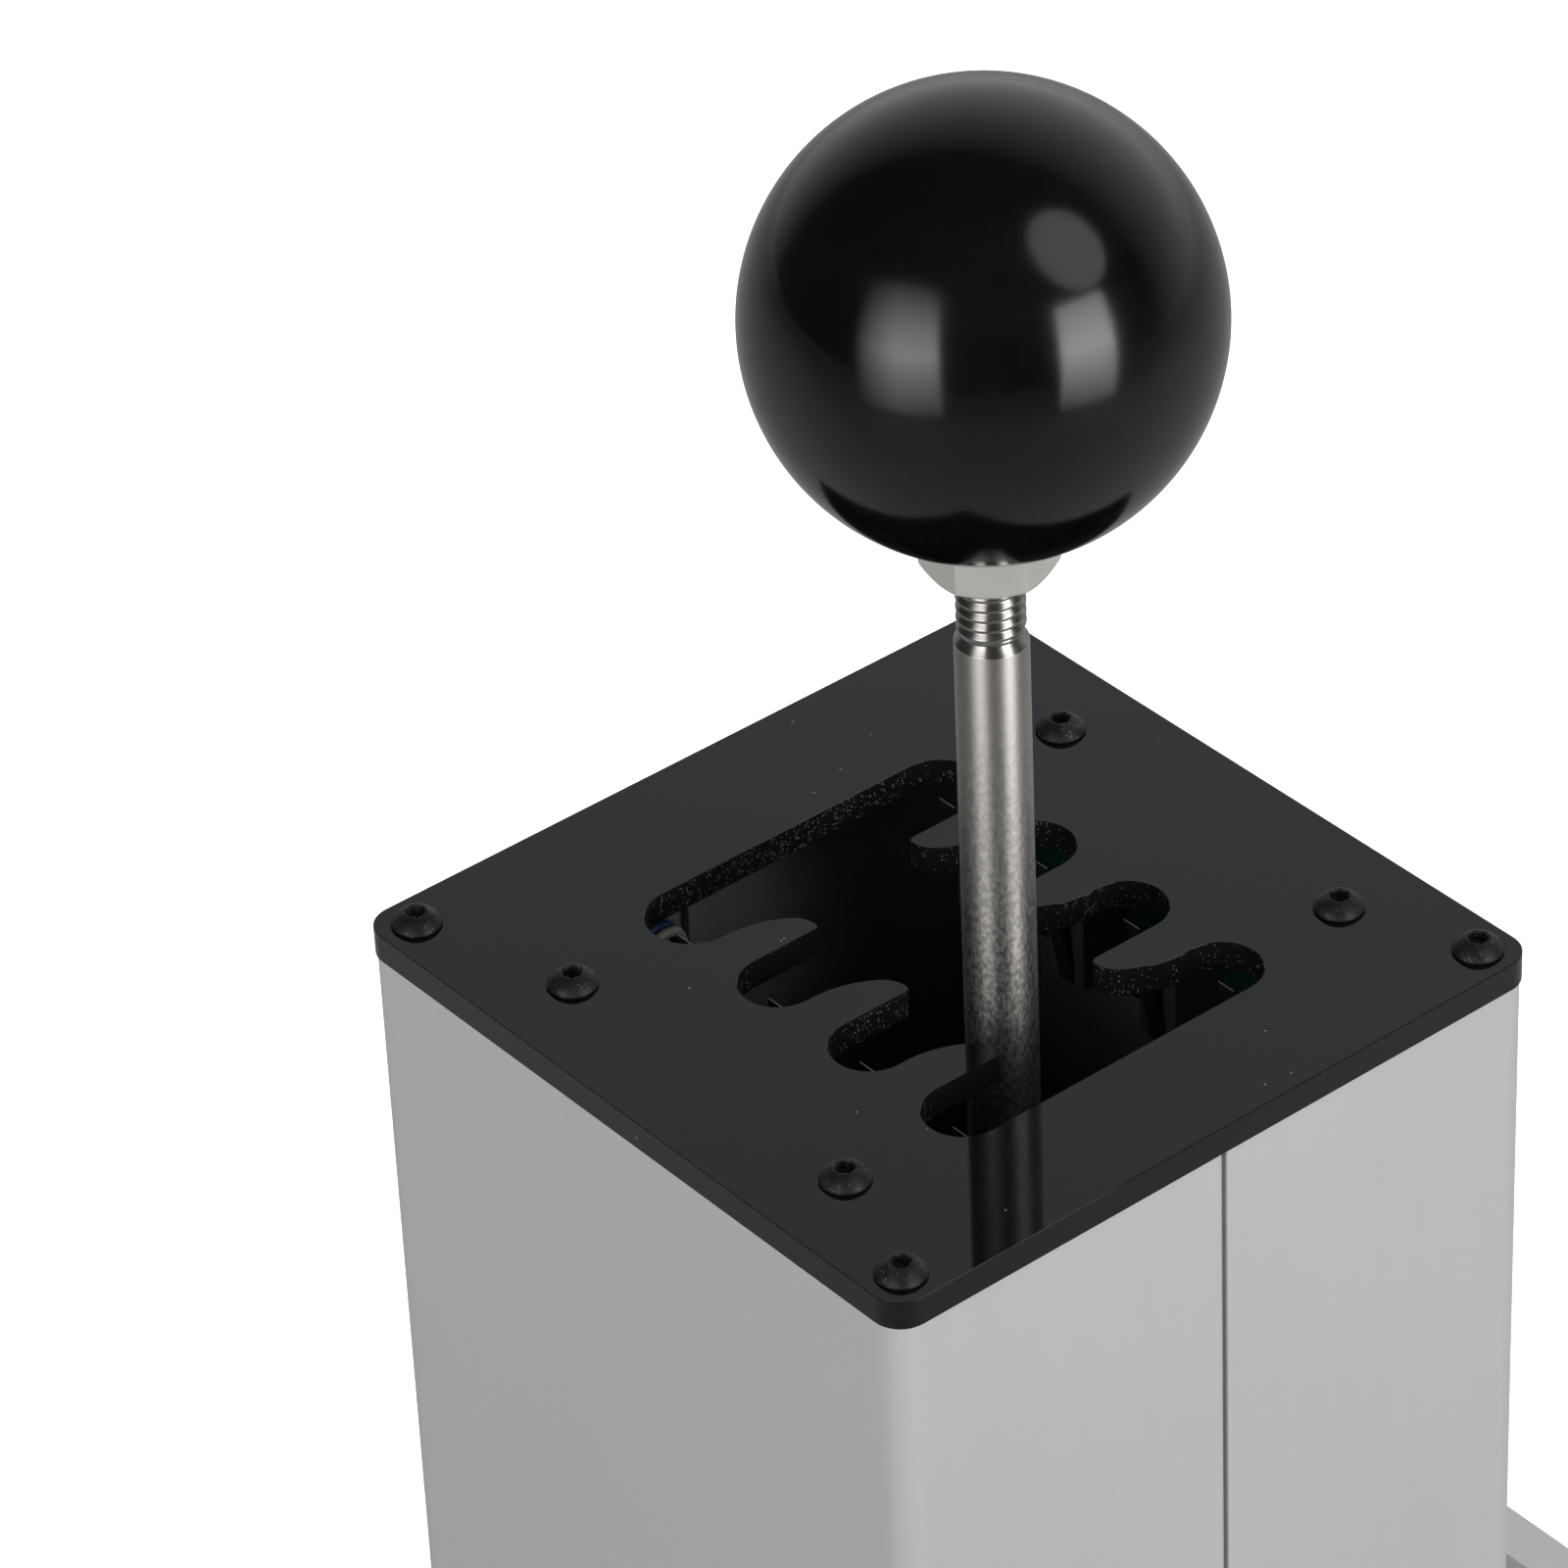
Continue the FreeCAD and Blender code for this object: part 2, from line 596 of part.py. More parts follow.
def comb(sides):
    """One side of the gate's outline, from the middle of its first wall to that of its last."""
    reach = size.gate_reach
    outline = []
    bottom = 0.0
    for index, (left, right) in enumerate(sides):
        radius = (right - left) / 2
        shoulder = reach - radius
        outline.append(Part.LineSegment(Vector(left, bottom, 0), Vector(left, shoulder, 0)))
        top = Vector((left + right) / 2, reach, 0)
        outline.append(Part.Arc(Vector(left, shoulder, 0), top, Vector(right, shoulder, 0)))
        if index + 1 == len(sides):
            outline.append(Part.LineSegment(Vector(right, shoulder, 0), Vector(right, 0, 0)))
            continue
        root = size.channel_half + size.finger_tip
        outline.append(Part.LineSegment(Vector(right, shoulder, 0), Vector(right, root, 0)))
        outline.extend(finger(right, sides[index + 1][0]))
        bottom = size.channel_half + size.finger_rise
    return outline


def gate_outline():
    """The +Y side as drawn, and the -Y side as the same comb turned by half a turn, at the plate's scale."""
    sides = columns()
    turned = [(-right, -left) for left, right in reversed(sides)]
    outline = comb(sides)
    for piece in comb(turned):
        piece.rotate(FreeCAD.Placement(Vector(), Rotation(Vector(0, 0, 1), 180)))
        outline.append(piece)
    for piece in outline:
        piece.scale(Vector(), layout.gate_scale)
    return outline


def make_gate_plate():
    body = new_body("gate_plate")
    outline = new_sketch(body, "plate_outline", "XY_Plane")
    sketch_rectangle(outline, "plate", "-half_plate", "-half_plate", "plate_width", "plate_width")
    pad(body, outline, "plate_thickness")
    round_upright_edges(body, "plate_corners", "plate_corner")
    gate = new_sketch(body, "gate_opening", "XY_Plane", "-overcut")
    gate.addGeometry(gate_outline(), False)
    pocket(body, gate, "plate_thickness + 2 * overcut")
    holes = new_sketch(body, "plate_holes", "XY_Plane", "-overcut")
    for side, x_sign in (("left", "-"), ("right", "")):
        for end, y_sign in (("front", "-"), ("rear", "")):
            quarter = side + "_" + end
            outer_x = x_sign + "corner_screw"
            outer_y = y_sign + "corner_screw"
            sketch_circle(holes, "corner_" + quarter, outer_x, outer_y, "clear_hole")
            inner_x = x_sign + "bracket_screw_" + side
            inner_y = y_sign + "bracket_screw_row"
            sketch_circle(holes, "inner_" + quarter, inner_x, inner_y, "clear_hole")
    pocket(body, holes, "plate_thickness + 2 * overcut")
    place(body, z="plate_bottom")
    node(body, "gate_plate")


# The box

def make_base_plate():
    body = new_body("base_plate")
    outline = new_sketch(body, "base_outline", "XY_Plane")
    sketch_rectangle(outline, "base", "-half_plate", "-half_base", "plate_width", "base_length")
    pad(body, outline, "base_thickness")
    round_upright_edges(body, "base_corners", "base_corner")
    slots = []
    holes = []
    straight = "(slot_length - slot_width)"
    through = "base_thickness + 2 * overcut"
    for x in ("-slot_spacing / 2", "slot_spacing / 2"):
        for y in ("-slot_row", "slot_row"):
            slots.append(middle_box(x, y, "-overcut", straight, "slot_width", through))
            for end in ("-", "+"):
                middle = "%s %s %s / 2" % (x, end, straight)
                slots.append(cylinder("slot_width / 2", through, middle, y, "-overcut"))
    for x in ("-corner_screw", "corner_screw"):
        for y in ("-corner_screw", "corner_screw"):
            holes.append(cylinder("tapped_hole", through, x, y, "-overcut"))
            holes.append(cone("base_screw_head + fit_gap", "tapped_hole", "base_screw_head_height", x, y))
    for x in ("rest_column - frame_screw_x", "rest_column + frame_screw_x"):
        for y in ("-frame_screw_y", "frame_screw_y"):
            holes.append(cylinder("frame_screw + fit_gap", through, x, y, "-overcut"))
    for x, y in board_holes():
        holes.append(cylinder("tapped_hole", through, x, y, "-overcut"))
    node(cut(body, *slots, *holes), "base_plate")


def ring_of_walls(low_y, high_y):
    """The part of the box's wall between two Y values, with rounded corners outside and inside."""
    outer_corner = "(plate_corner - shell_inset)"
    inner_corner = "(plate_corner - shell_inset - shell_wall)"
    walls = []
    for half, corner, low, height in (
        ("half_shell", outer_corner, "0", "shell_height"),
        ("half_inside", inner_corner, "-overcut", "shell_height + 2 * overcut"),
    ):
        straight = "2 * (%s - %s)" % (half, corner)
        full = "2 * %s" % half
        pieces = [
            middle_box("0", "0", low, full, straight, height),
            middle_box("0", "0", low, straight, full, height),
        ]
        for x_sign in ("-", ""):
            for y_sign in ("-", ""):
                x = "%s(%s - %s)" % (x_sign, half, corner)
                y = "%s(%s - %s)" % (y_sign, half, corner)
                pieces.append(cylinder(corner, height, x, y, low))
        walls.append(fuse(*pieces))
    frame = cut(walls[0], walls[1])
    depth = "%s - (%s)" % (high_y, low_y)
    window = box("-half_plate", low_y, "-overcut", "plate_width", depth, "shell_height + 2 * overcut")
    return common(frame, window)


def corner_ports(y_sign):
    """The screw ports of one shell: a tube in each corner that merges with the walls."""
    ports = []
    bores = []
    for x_sign in ("-", ""):
        x = x_sign + "corner_screw"
        y = y_sign + "corner_screw"
        ports.append(cylinder("port_radius", "shell_height", x, y))
        bores.append(cylinder("tapped_hole", "shell_height + 2 * overcut", x, y, "-overcut"))
    return ports, bores


def make_front_shell():
    walls = ring_of_walls("-half_plate", "-seam_gap / 2")
    ports, bores = corner_ports("-")
    width = "(socket_width + 2 * socket_opening_gap)"
    height = "(socket_height + 2 * socket_opening_gap)"
    sill = "board_top - base_thickness - socket_opening_gap"
    middle_y = "-half_plate + shell_wall"
    opening = middle_box("control_board_x", middle_y, sill, width, "2 * shell_wall", height)
    shell = cut(fuse(walls, *ports), *bores, opening)
    node(place(shell, z="base_thickness"), "front_shell")


def make_rear_shell():
    walls = ring_of_walls("seam_gap / 2", "half_plate")
    ports, bores = corner_ports("")
    strips = []
    lip_inside = "half_inside - lip_gap - lip_thickness"
    start = "seam_gap / 2 - lip_reach"
    for x in (lip_inside, "lip_gap - half_inside"):
        strips.append(box(x, start, "0", "lip_thickness", "2 * lip_reach", "shell_height"))
    root = "seam_gap / 2 + lip_gap"
    for x in (lip_inside, "-half_inside - lip_gap"):
        strips.append(box(x, root, "0", "lip_thickness + 2 * lip_gap", "lip_reach", "shell_height"))
    shell = cut(fuse(walls, *strips, *ports), *bores)
    node(place(shell, z="base_thickness"), "rear_shell")


# Fasteners

def button_screw(length, radius="small_screw", head="small_head", height="small_head_height"):
    """A domed screw with a hexagon socket: the head's seat is at z = 0, the shank below it."""
    rim = "small_head_rim"
    top = "small_head_flat"
    squares = "(%s)^2 + (%s)^2 - (%s)^2 - (%s)^2" % (top, height, head, rim)
    drop = "(%s) / (2 * (%s - %s))" % (squares, height, rim)
    ball_radius = "sqrt((%s)^2 + (%s - %s)^2)" % (top, height, drop)
    dome = common(cylinder(head, height), sphere(ball_radius, z=drop))
    shank = cylinder(radius, length, z="-(%s)" % length)
    key = hexagon("small_socket", "small_socket_depth + overcut", z="%s - small_socket_depth" % height)
    return cut(fuse(dome, shank), key)


def make_plate_screws():
    corner = place(button_screw("corner_screw_length"), "corner_screw", "corner_screw")
    node(place(four_corners(corner), z="plate_top"), "gate_corner_screws")
    inner = []
    nuts = []
    for x in ("-bracket_screw_left", "bracket_screw_right"):
        row = "bracket_screw_row"
        inner.append(place(button_screw("bracket_screw_length"), x, row))
        nut = hexagon("nut_half", "nut_height", x, row, "-nut_height")
        bore = cylinder("tapped_hole", "nut_height + 2 * overcut", x, row, "-nut_height - overcut")
        nuts.append(cut(nut, bore))
    node(place(both_sides(group(*inner), ALONG), z="plate_top"), "gate_bracket_screws")
    node(place(both_sides(group(*nuts), ALONG), z="flange_bottom"), "gate_bracket_nuts")


def make_base_screws():
    head = cone("base_screw_head", "small_screw", "base_screw_head_height")
    shank = cylinder("small_screw", "base_screw_length")
    key = hexagon("small_socket", "small_socket_depth + overcut", z="-overcut")
    screw = place(cut(fuse(head, shank), key), "corner_screw", "corner_screw")
    node(four_corners(screw), "base_screws")


# Switches at the column ends

def make_switch_bracket(name, y_sign):
    """An angle that hangs from the gate plate's inner screws and carries a switch board."""
    width = "bracket_left + bracket_right"
    left = "-bracket_left"
    flange = box(left, "board_back", "flange_bottom", width, "bracket_depth", "bracket_thickness")
    web = box(left, "board_back", "plate_bottom - bracket_drop", width, "bracket_web", "bracket_drop")
    holes = []
    through = "bracket_thickness + 2 * overcut"
    for x in ("-bracket_screw_left", "bracket_screw_right"):
        holes.append(cylinder("clear_hole", through, x, "bracket_screw_row", "flange_bottom - overcut"))
    for x in board_screw_columns():
        holes.append(board_screw_hole(x, "bracket_web", "board_back"))
    bracket = cut(fuse(flange, web), *holes)
    finish_side(bracket, name + "_switch_bracket", y_sign)


def board_screw_columns():
    """X of the two screws of a switch board, midway between switches."""
    return ("(reverse_column + second_column) / 2", "(rest_column + first_column) / 2")


def board_screw_hole(x, depth, start):
    """A hole for a switch board screw through a sheet that begins at start."""
    through = "%s + 2 * overcut" % depth
    return cylinder("tiny_screw + fit_gap", through, x, start + " - overcut", "switch_screw_z", along="Y")


def finish_side(shape, name, y_sign):
    """Keep a shape on the +Y side, or mirror it to the -Y side."""
    node(shape if y_sign > 0 else mirror(shape, ALONG), name)


def make_switch_board(name, y_sign):
    left = "-bracket_left + switch_board_end"
    width = "bracket_left + bracket_right - 2 * switch_board_end"
    low = "plate_bottom - switch_board_drop - switch_board_height"
    board = box(left, "board_face", low, width, "board_thickness", "switch_board_height")
    holes = []
    screws = []
    for x in board_screw_columns():
        holes.append(board_screw_hole(x, "board_thickness", "board_face"))
        head = cylinder("tiny_head", "tiny_head_height", y="-tiny_head_height", along="Y")
        shank = cylinder("tiny_screw", "board_thickness + bracket_web", along="Y")
        depth = "tiny_socket_depth + overcut"
        key = hexagon("tiny_socket", depth, y="-tiny_head_height - overcut", along="Y")
        screws.append(place(cut(fuse(head, shank), key), x, "board_face", "switch_screw_z"))
    finish_side(cut(board, *holes), name + "_switch_board", y_sign)
    finish_side(group(*screws), name + "_board_screws", y_sign)


def leaf(x):
    """A switch leaf: a foot on the switch face and a blade that leans in to its tip."""
    foot_top = layout.switch_bottom + size.leaf_foot
    face = layout.switch_face
    thick = size.leaf_thickness
    tip = layout.leaf_tip
    low = layout.switch_bottom
    top = layout.leaf_top
    outline = [
        Vector(0, face, low),
        Vector(0, face, foot_top),
        Vector(0, tip + thick, top),
        Vector(0, tip, top),
        Vector(0, face - thick, foot_top),
        Vector(0, face - thick, low),
    ]
    profile = Part.Face(Part.makePolygon(outline + outline[:1]))
    blade = profile.extrude(Vector(size.leaf_width, 0, 0))
    feature = add("Part::Feature")
    feature.Shape = blade
    return place(feature, "%s - leaf_width / 2" % x)


def make_switches(name, y_sign):
    """Four switches with their buttons and leaves, one behind each column end."""
    cases = []
    buttons = []
    leaves = []
    z = "switch_top - button_height"
    for x in ("reverse_column", "second_column", "rest_column", "first_column"):
        left = "%s - switch_width / 2" % x
        case = box(left, "switch_face", "switch_bottom", "switch_width", "switch_depth", "switch_length")
        depth = "2 * button_travel + overcut"
        bore = cylinder("button_radius + fit_gap", depth, x, "switch_face - overcut", z, along="Y")
        cases.append(cut(case, bore))
        out = "switch_face - button_travel"
        buttons.append(cylinder("button_radius", "2 * button_travel", x, out, z, along="Y"))
        leaves.append(leaf(x))
    finish_side(group(*cases), name + "_switches", y_sign)
    finish_side(group(*buttons), name + "_switch_buttons", y_sign)
    finish_side(group(*leaves), name + "_switch_leaves", y_sign)


# The gimbal

def make_pivot_frame():
    """A U-shaped frame on the base plate whose cheeks carry the side-to-side axis."""
    floor = middle_box("0", "0", "base_thickness", "2 * frame_half", "2 * cheek_outside", "frame_sheet")
    cheeks = []
    holes = []
    through = "frame_sheet + 2 * overcut"
    below = "base_thickness - overcut"
    rise = "pivot_height - base_thickness"
    for y in ("-cheek_outside", "frame_inside"):
        middle = "%s + frame_sheet / 2" % y
        cheeks.append(middle_box("0", middle, "base_thickness", "2 * cheek_half", "frame_sheet", rise))
        cheeks.append(cylinder("cheek_half", "frame_sheet", "0", y, "pivot_height", along="Y"))
        before = "%s - overcut" % y
        holes.append(cylinder("side_pin + fit_gap", through, "0", before, "pivot_height", along="Y"))
    for x in ("-frame_screw_x", "frame_screw_x"):
        for y in ("-frame_screw_y", "frame_screw_y"):
            holes.append(cylinder("frame_screw + small_screw_gap", through, x, y, below))
    for y in ("-detent_screw_y", "detent_screw_y"):
        holes.append(cylinder("tapped_hole", through, "0", y, below))
    pegs = []
    for x in ("-spring_offset", "spring_offset"):
        pegs.append(cylinder("spring_radius - spring_wire - seat_gap", "peg_height", x, "0", "web_top"))
    frame = cut(fuse(floor, *cheeks, *pegs), *holes)
    node(place(frame, "rest_column"), "pivot_frame")


def make_frame_screws():
    length = "frame_sheet + base_thickness - tip_gap"
    screw = button_screw(length, "frame_screw", "frame_screw_head", "frame_screw_head_height")
    place(screw, "frame_screw_x", "frame_screw_y")
    node(place(four_corners(screw), "rest_column", "0", "web_top"), "pivot_frame_screws")


def clip(pin_radius, start, along):
    """A push-on retaining clip: an open ring on a pin."""
    outer = "%s + clip_width" % pin_radius
    x, y = (start, "0") if along == "X" else ("0", start)
    ring = cylinder(outer, "clip_thickness", x, y, along=along)
    far = "clip_thickness + 2 * overcut"
    before = "%s - overcut" % start
    x, y = (before, "0") if along == "X" else ("0", before)
    bore = cylinder("%s + fit_gap" % pin_radius, far, x, y, along=along)
    if along == "X":
        mouth = box(before, "-clip_opening", "0", far, "2 * clip_opening", "%s + overcut" % outer)
    else:
        mouth = box("-clip_opening", before, "0", "2 * clip_opening", far, "%s + overcut" % outer)
    return cut(ring, bore, mouth)


def make_side_axis():
    """The two pins of the side-to-side axis with their clips, and the bushes in the yoke."""
    inner_end = "yoke_inside - clip_thickness - pin_end - fit_gap"
    head = cylinder("side_pin_head", "side_pin_head_height", y="cheek_outside", along="Y")
    shank = cylinder("side_pin", "cheek_outside - (%s)" % inner_end, y=inner_end, along="Y")
    depth = "side_pin_socket_depth + overcut"
    seat = "cheek_outside + side_pin_head_height - side_pin_socket_depth"
    key = hexagon("side_pin_socket", depth, y=seat, along="Y")
    pins = both_sides(cut(fuse(head, shank), key), ALONG)
    node(place(pins, "rest_column", "0", "pivot_height"), "side_pivot_pins")
    ring = clip("side_pin", "yoke_inside - clip_thickness - fit_gap", "Y")
    node(place(both_sides(ring, ALONG), "rest_column", "0", "pivot_height"), "side_pivot_clips")
    sleeve = cylinder("bush_radius", "yoke_end_wall", y="yoke_inside", along="Y")
    flange = cylinder("bush_radius + bush_flange", "bush_flange", y="yoke_half_length", along="Y")
    through = "yoke_end_wall + bush_flange + 2 * overcut"
    bore = cylinder("side_pin + running_gap", through, y="yoke_inside - overcut", along="Y")
    bushes = both_sides(cut(fuse(sleeve, flange), bore), ALONG)
    node(place(bushes, "rest_column", "0", "pivot_height"), "side_pivot_bushes")


def make_yoke():
    """The ring between the two axes of the gimbal."""
    low = "-yoke_height / 2"
    ring = middle_box("0", "0", low, "2 * yoke_half_width", "2 * yoke_half_length", "yoke_height")
    through = "yoke_height + 2 * overcut"
    window = middle_box("0", "0", "%s - overcut" % low, "2 * yoke_gap", "2 * yoke_inside", through)
    end_y = "(yoke_half_length + overcut)"
    side_hole = cylinder("bush_radius + fit_gap", "2 * %s" % end_y, y="-%s" % end_y, along="Y")
    end_x = "(yoke_half_width + overcut)"
    cross_hole = cylinder("cross_pin + fit_gap", "2 * %s" % end_x, "-%s" % end_x, along="X")
    grub_hole = cylinder("grub_screw + fit_gap", "yoke_height / 2 + overcut", "spring_offset")
    pegs = []
    peg_radius = "spring_radius - spring_wire - seat_gap"
    for x in ("-spring_offset", "spring_offset"):
        pegs.append(cylinder(peg_radius, "peg_height + overcut", x, "0", "%s - peg_height" % low))
    solid = cut(fuse(cut(ring, window), *pegs), side_hole, cross_hole, grub_hole)
    node(place(solid, "rest_column", "0", "pivot_height"), "yoke")


def make_cross_axis():
    """The pin of the fore-and-aft axis, its clips and grub screw, and the bushes in the lever block."""
    end = "(yoke_half_width + fit_gap + clip_thickness + pin_end)"
    pin = group(cylinder("cross_pin", "2 * %s" % end, "-%s" % end, along="X"))
    node(place(pin, "rest_column", "0", "pivot_height"), "fore_aft_pin")
    ring = clip("cross_pin", "yoke_half_width + fit_gap", "X")
    node(place(both_sides(ring, ACROSS), "rest_column", "0", "pivot_height"), "fore_aft_pin_clips")
    sleeve = cylinder("cross_bush_radius", "block_bush", "block_half_width - block_bush", along="X")
    flange = cylinder("cross_bush_radius + bush_flange", "bush_flange", "block_half_width", along="X")
    through = "block_bush + bush_flange + 2 * overcut"
    inside = "block_half_width - block_bush - overcut"
    bore = cylinder("cross_pin + running_gap", through, inside, along="X")
    bushes = both_sides(cut(fuse(sleeve, flange), bore), ACROSS)
    node(place(bushes, "rest_column", "0", "pivot_height"), "fore_aft_bushes")
    low = "cross_pin + fit_gap"
    grub = cylinder("grub_screw", "yoke_height / 2 - (%s)" % low, "spring_offset", "0", low)
    seat = "yoke_height / 2 - grub_socket_depth"
    key = hexagon("grub_socket", "grub_socket_depth + overcut", "spring_offset", "0", seat)
    node(place(cut(grub, key), "rest_column", "0", "pivot_height"), "yoke_grub_screw")


def make_lever_block():
    height = "block_below + block_above"
    block = middle_box("0", "0", "-block_below", "2 * block_half_width", "2 * block_half_depth", height)
    end_x = "(block_half_width + overcut)"
    bush_hole = cylinder("cross_bush_radius + fit_gap", "2 * %s" % end_x, "-%s" % end_x, along="X")
    rod_hole = cylinder("rod_radius + fit_gap", "block_above - rod_foot + overcut", z="rod_foot")
    depth = "block_below - housing_top + overcut"
    housing_hole = cylinder("housing_radius + fit_gap", depth, z="-block_below - overcut")
    depth = "block_half_depth + overcut"
    grub_hole = cylinder("grub_screw + fit_gap", depth, y="-(%s)" % depth, z="rod_grub_height", along="Y")
    solid = cut(block, bush_hole, rod_hole, housing_hole, grub_hole)
    node(place(solid, "rest_column", "0", "pivot_height"), "lever_block")
    length = "block_half_depth - rod_radius - fit_gap"
    grub = cylinder("grub_screw", length, y="-block_half_depth", z="rod_grub_height", along="Y")
    depth = "grub_socket_depth + overcut"
    before = "-block_half_depth - overcut"
    key = hexagon("grub_socket", depth, y=before, z="rod_grub_height", along="Y")
    node(place(cut(grub, key), "rest_column", "0", "pivot_height"), "rod_grub_screw")


# The rod and its knob

def rod_profile():
    """Half of the rod's section: a plain shaft, a chamfered shoulder, a neck and a thread."""
    radius = size.rod_radius
    root = size.thread_root
    crest = size.thread_crest
    pitch = size.thread_pitch
    points = [
        Vector(0, size.rod_foot, 0),
        Vector(radius, size.rod_foot, 0),
        Vector(radius, layout.shoulder, 0),
        Vector(root, layout.shoulder + size.shoulder_height, 0),
    ]
    height = layout.thread_start
    land = pitch * THREAD_FLAT
    while height < layout.nut_bottom:
        points.append(Vector(root, height - land, 0))
        points.append(Vector(crest, height + pitch / 2 - land, 0))
        points.append(Vector(crest, height + pitch / 2, 0))
        points.append(Vector(root, height + pitch - land, 0))
        height += pitch
    points.append(Vector(root, height, 0))
    points.append(Vector(crest, height, 0))
    points.append(Vector(crest, layout.rod_top, 0))
    points.append(Vector(0, layout.rod_top, 0))
    tidy = [points[0]]
    for point in points[1:]:
        if point.distanceToPoint(tidy[-1]) > size.fit_gap:
            tidy.append(point)
    return tidy


def make_rod():
    body = new_body("shift_rod")
    sketch = new_sketch(body, "rod_section", "XZ_Plane")
    points = rod_profile()
    for index in range(len(points)):
        sketch.addGeometry(Part.LineSegment(points[index], points[(index + 1) % len(points)]), False)
    revolve(body, sketch)
    place(body, "rest_column", "0", "pivot_height")
    node(body, "shift_rod")


def make_jam_nut():
    corner = "jam_nut_half / cos(30)"
    blank = hexagon("jam_nut_half", "jam_nut_height", z="nut_bottom")
    barrel = fuse(
        cone("jam_nut_half", corner, "jam_nut_chamfer", z="nut_bottom"),
        cylinder(corner, "jam_nut_height - 2 * jam_nut_chamfer", z="nut_bottom + jam_nut_chamfer"),
        cone(corner, "jam_nut_half", "jam_nut_chamfer", z="nut_top - jam_nut_chamfer"),
    )
    bore = cylinder("thread_crest + fit_gap", "jam_nut_height + 2 * overcut", z="nut_bottom - overcut")
    node(place(cut(common(blank, barrel), bore), "rest_column", "0", "pivot_height"), "jam_nut")


def make_knob():
    ball = sphere("knob_radius", z="knob_centre")
    below = "nut_top - knob_flat - overcut"
    under = middle_box("0", "0", below, "2 * knob_radius", "2 * knob_radius", "knob_flat + overcut")
    bore = cylinder("insert_radius + fit_gap", "insert_length + overcut", z="nut_top - overcut")
    node(place(cut(ball, under, bore), "rest_column", "0", "pivot_height"), "ball_knob")
    insert = cylinder("insert_radius", "insert_length", z="nut_top")
    depth = "insert_length - rod_end_gap / 2 + overcut"
    thread = cylinder("thread_crest + fit_gap", depth, z="nut_top - overcut")
    node(place(cut(insert, thread), "rest_column", "0", "pivot_height"), "knob_insert")


# The detent

def make_plunger():
    """The spring plunger under the lever block, in its screwed-in housing."""
    tube = cylinder("housing_radius", "housing_bottom - housing_top", z="-housing_bottom")
    depth = "housing_bottom - housing_top - housing_roof"
    bore = cylinder("plunger_radius + running_gap", "%s + overcut" % depth, z="-housing_bottom - overcut")
    node(place(cut(tube, bore), "rest_column", "0", "pivot_height"), "plunger_housing")
    tip_centre = "-plunger_reach + plunger_radius"
    shaft = cylinder("plunger_radius", "plunger_length - plunger_radius", z=tip_centre)
    tip = sphere("plunger_radius", z=tip_centre)
    node(place(fuse(shaft, tip), "rest_column", "0", "pivot_height"), "detent_plunger")
    coil_height = "plunger_top - housing_top - housing_roof - 2 * fit_gap"
    coil_radius = "plunger_radius - running_gap"
    coil = cylinder(coil_radius, coil_height, z="-plunger_top + fit_gap")
    through = "%s + 2 * overcut" % coil_height
    hollow = cylinder("%s - plunger_spring_wire" % coil_radius, through, z="-plunger_top - overcut")
    node(place(cut(coil, hollow), "rest_column", "0", "pivot_height"), "plunger_spring")


def make_detent_plate():
    """A dished plate, concentric with the gimbal, with a notch for each gear row and for neutral."""
    width = "2 * detent_half_width"
    length = "2 * detent_half_length"
    block = middle_box("0", "0", "-web_depth", width, length, "detent_height")
    dish = sphere("dish_radius")
    notches = []
    end_x = "(detent_half_width + overcut)"
    for angle in ("-throw_angle", "0", "throw_angle"):
        y = "notch_axis * sin(%s)" % angle
        z = "-notch_axis * cos(%s)" % angle
        notches.append(cylinder("notch_radius", "2 * %s" % end_x, "-%s" % end_x, y, z, along="X"))
    holes = []
    screws = []
    for y in ("-detent_screw_y", "detent_screw_y"):
        holes.append(cylinder("clear_hole", "detent_height + 2 * overcut", "0", y, "-web_depth - overcut"))
        screws.append(place(button_screw("detent_height + frame_sheet - tip_gap"), "0", y))
    plate = cut(block, dish, *notches, *holes)
    node(place(plate, "rest_column", "0", "pivot_height"), "detent_plate")
    node(place(group(*screws), "rest_column", "0", "web_top + detent_height"), "detent_screws")


def make_centring_springs():
    """The two springs that bring the lever back to the middle columns."""
    springs = []
    height = "spring_top - spring_bottom - 2 * fit_gap"
    for x in ("-spring_offset", "spring_offset"):
        tube = cylinder("spring_radius", height, x)
        through = "%s + 2 * overcut" % height
        hollow = cylinder("spring_radius - spring_wire", through, x, "0", "-overcut")
        springs.append(cut(tube, hollow))
    node(place(group(*springs), "rest_column", "0", "spring_bottom + fit_gap"), "centring_springs")


# The controller

def board_holes():
    """Centres of the control board's four screws."""
    places = []
    for x_sign in ("-", "+"):
        x = "control_board_x %s (control_board_width / 2 - board_hole_inset)" % x_sign
        places.append((x, "-control_board_front + board_hole_front"))
        places.append((x, "-control_board_front + control_board_length - board_hole_back"))
    return places


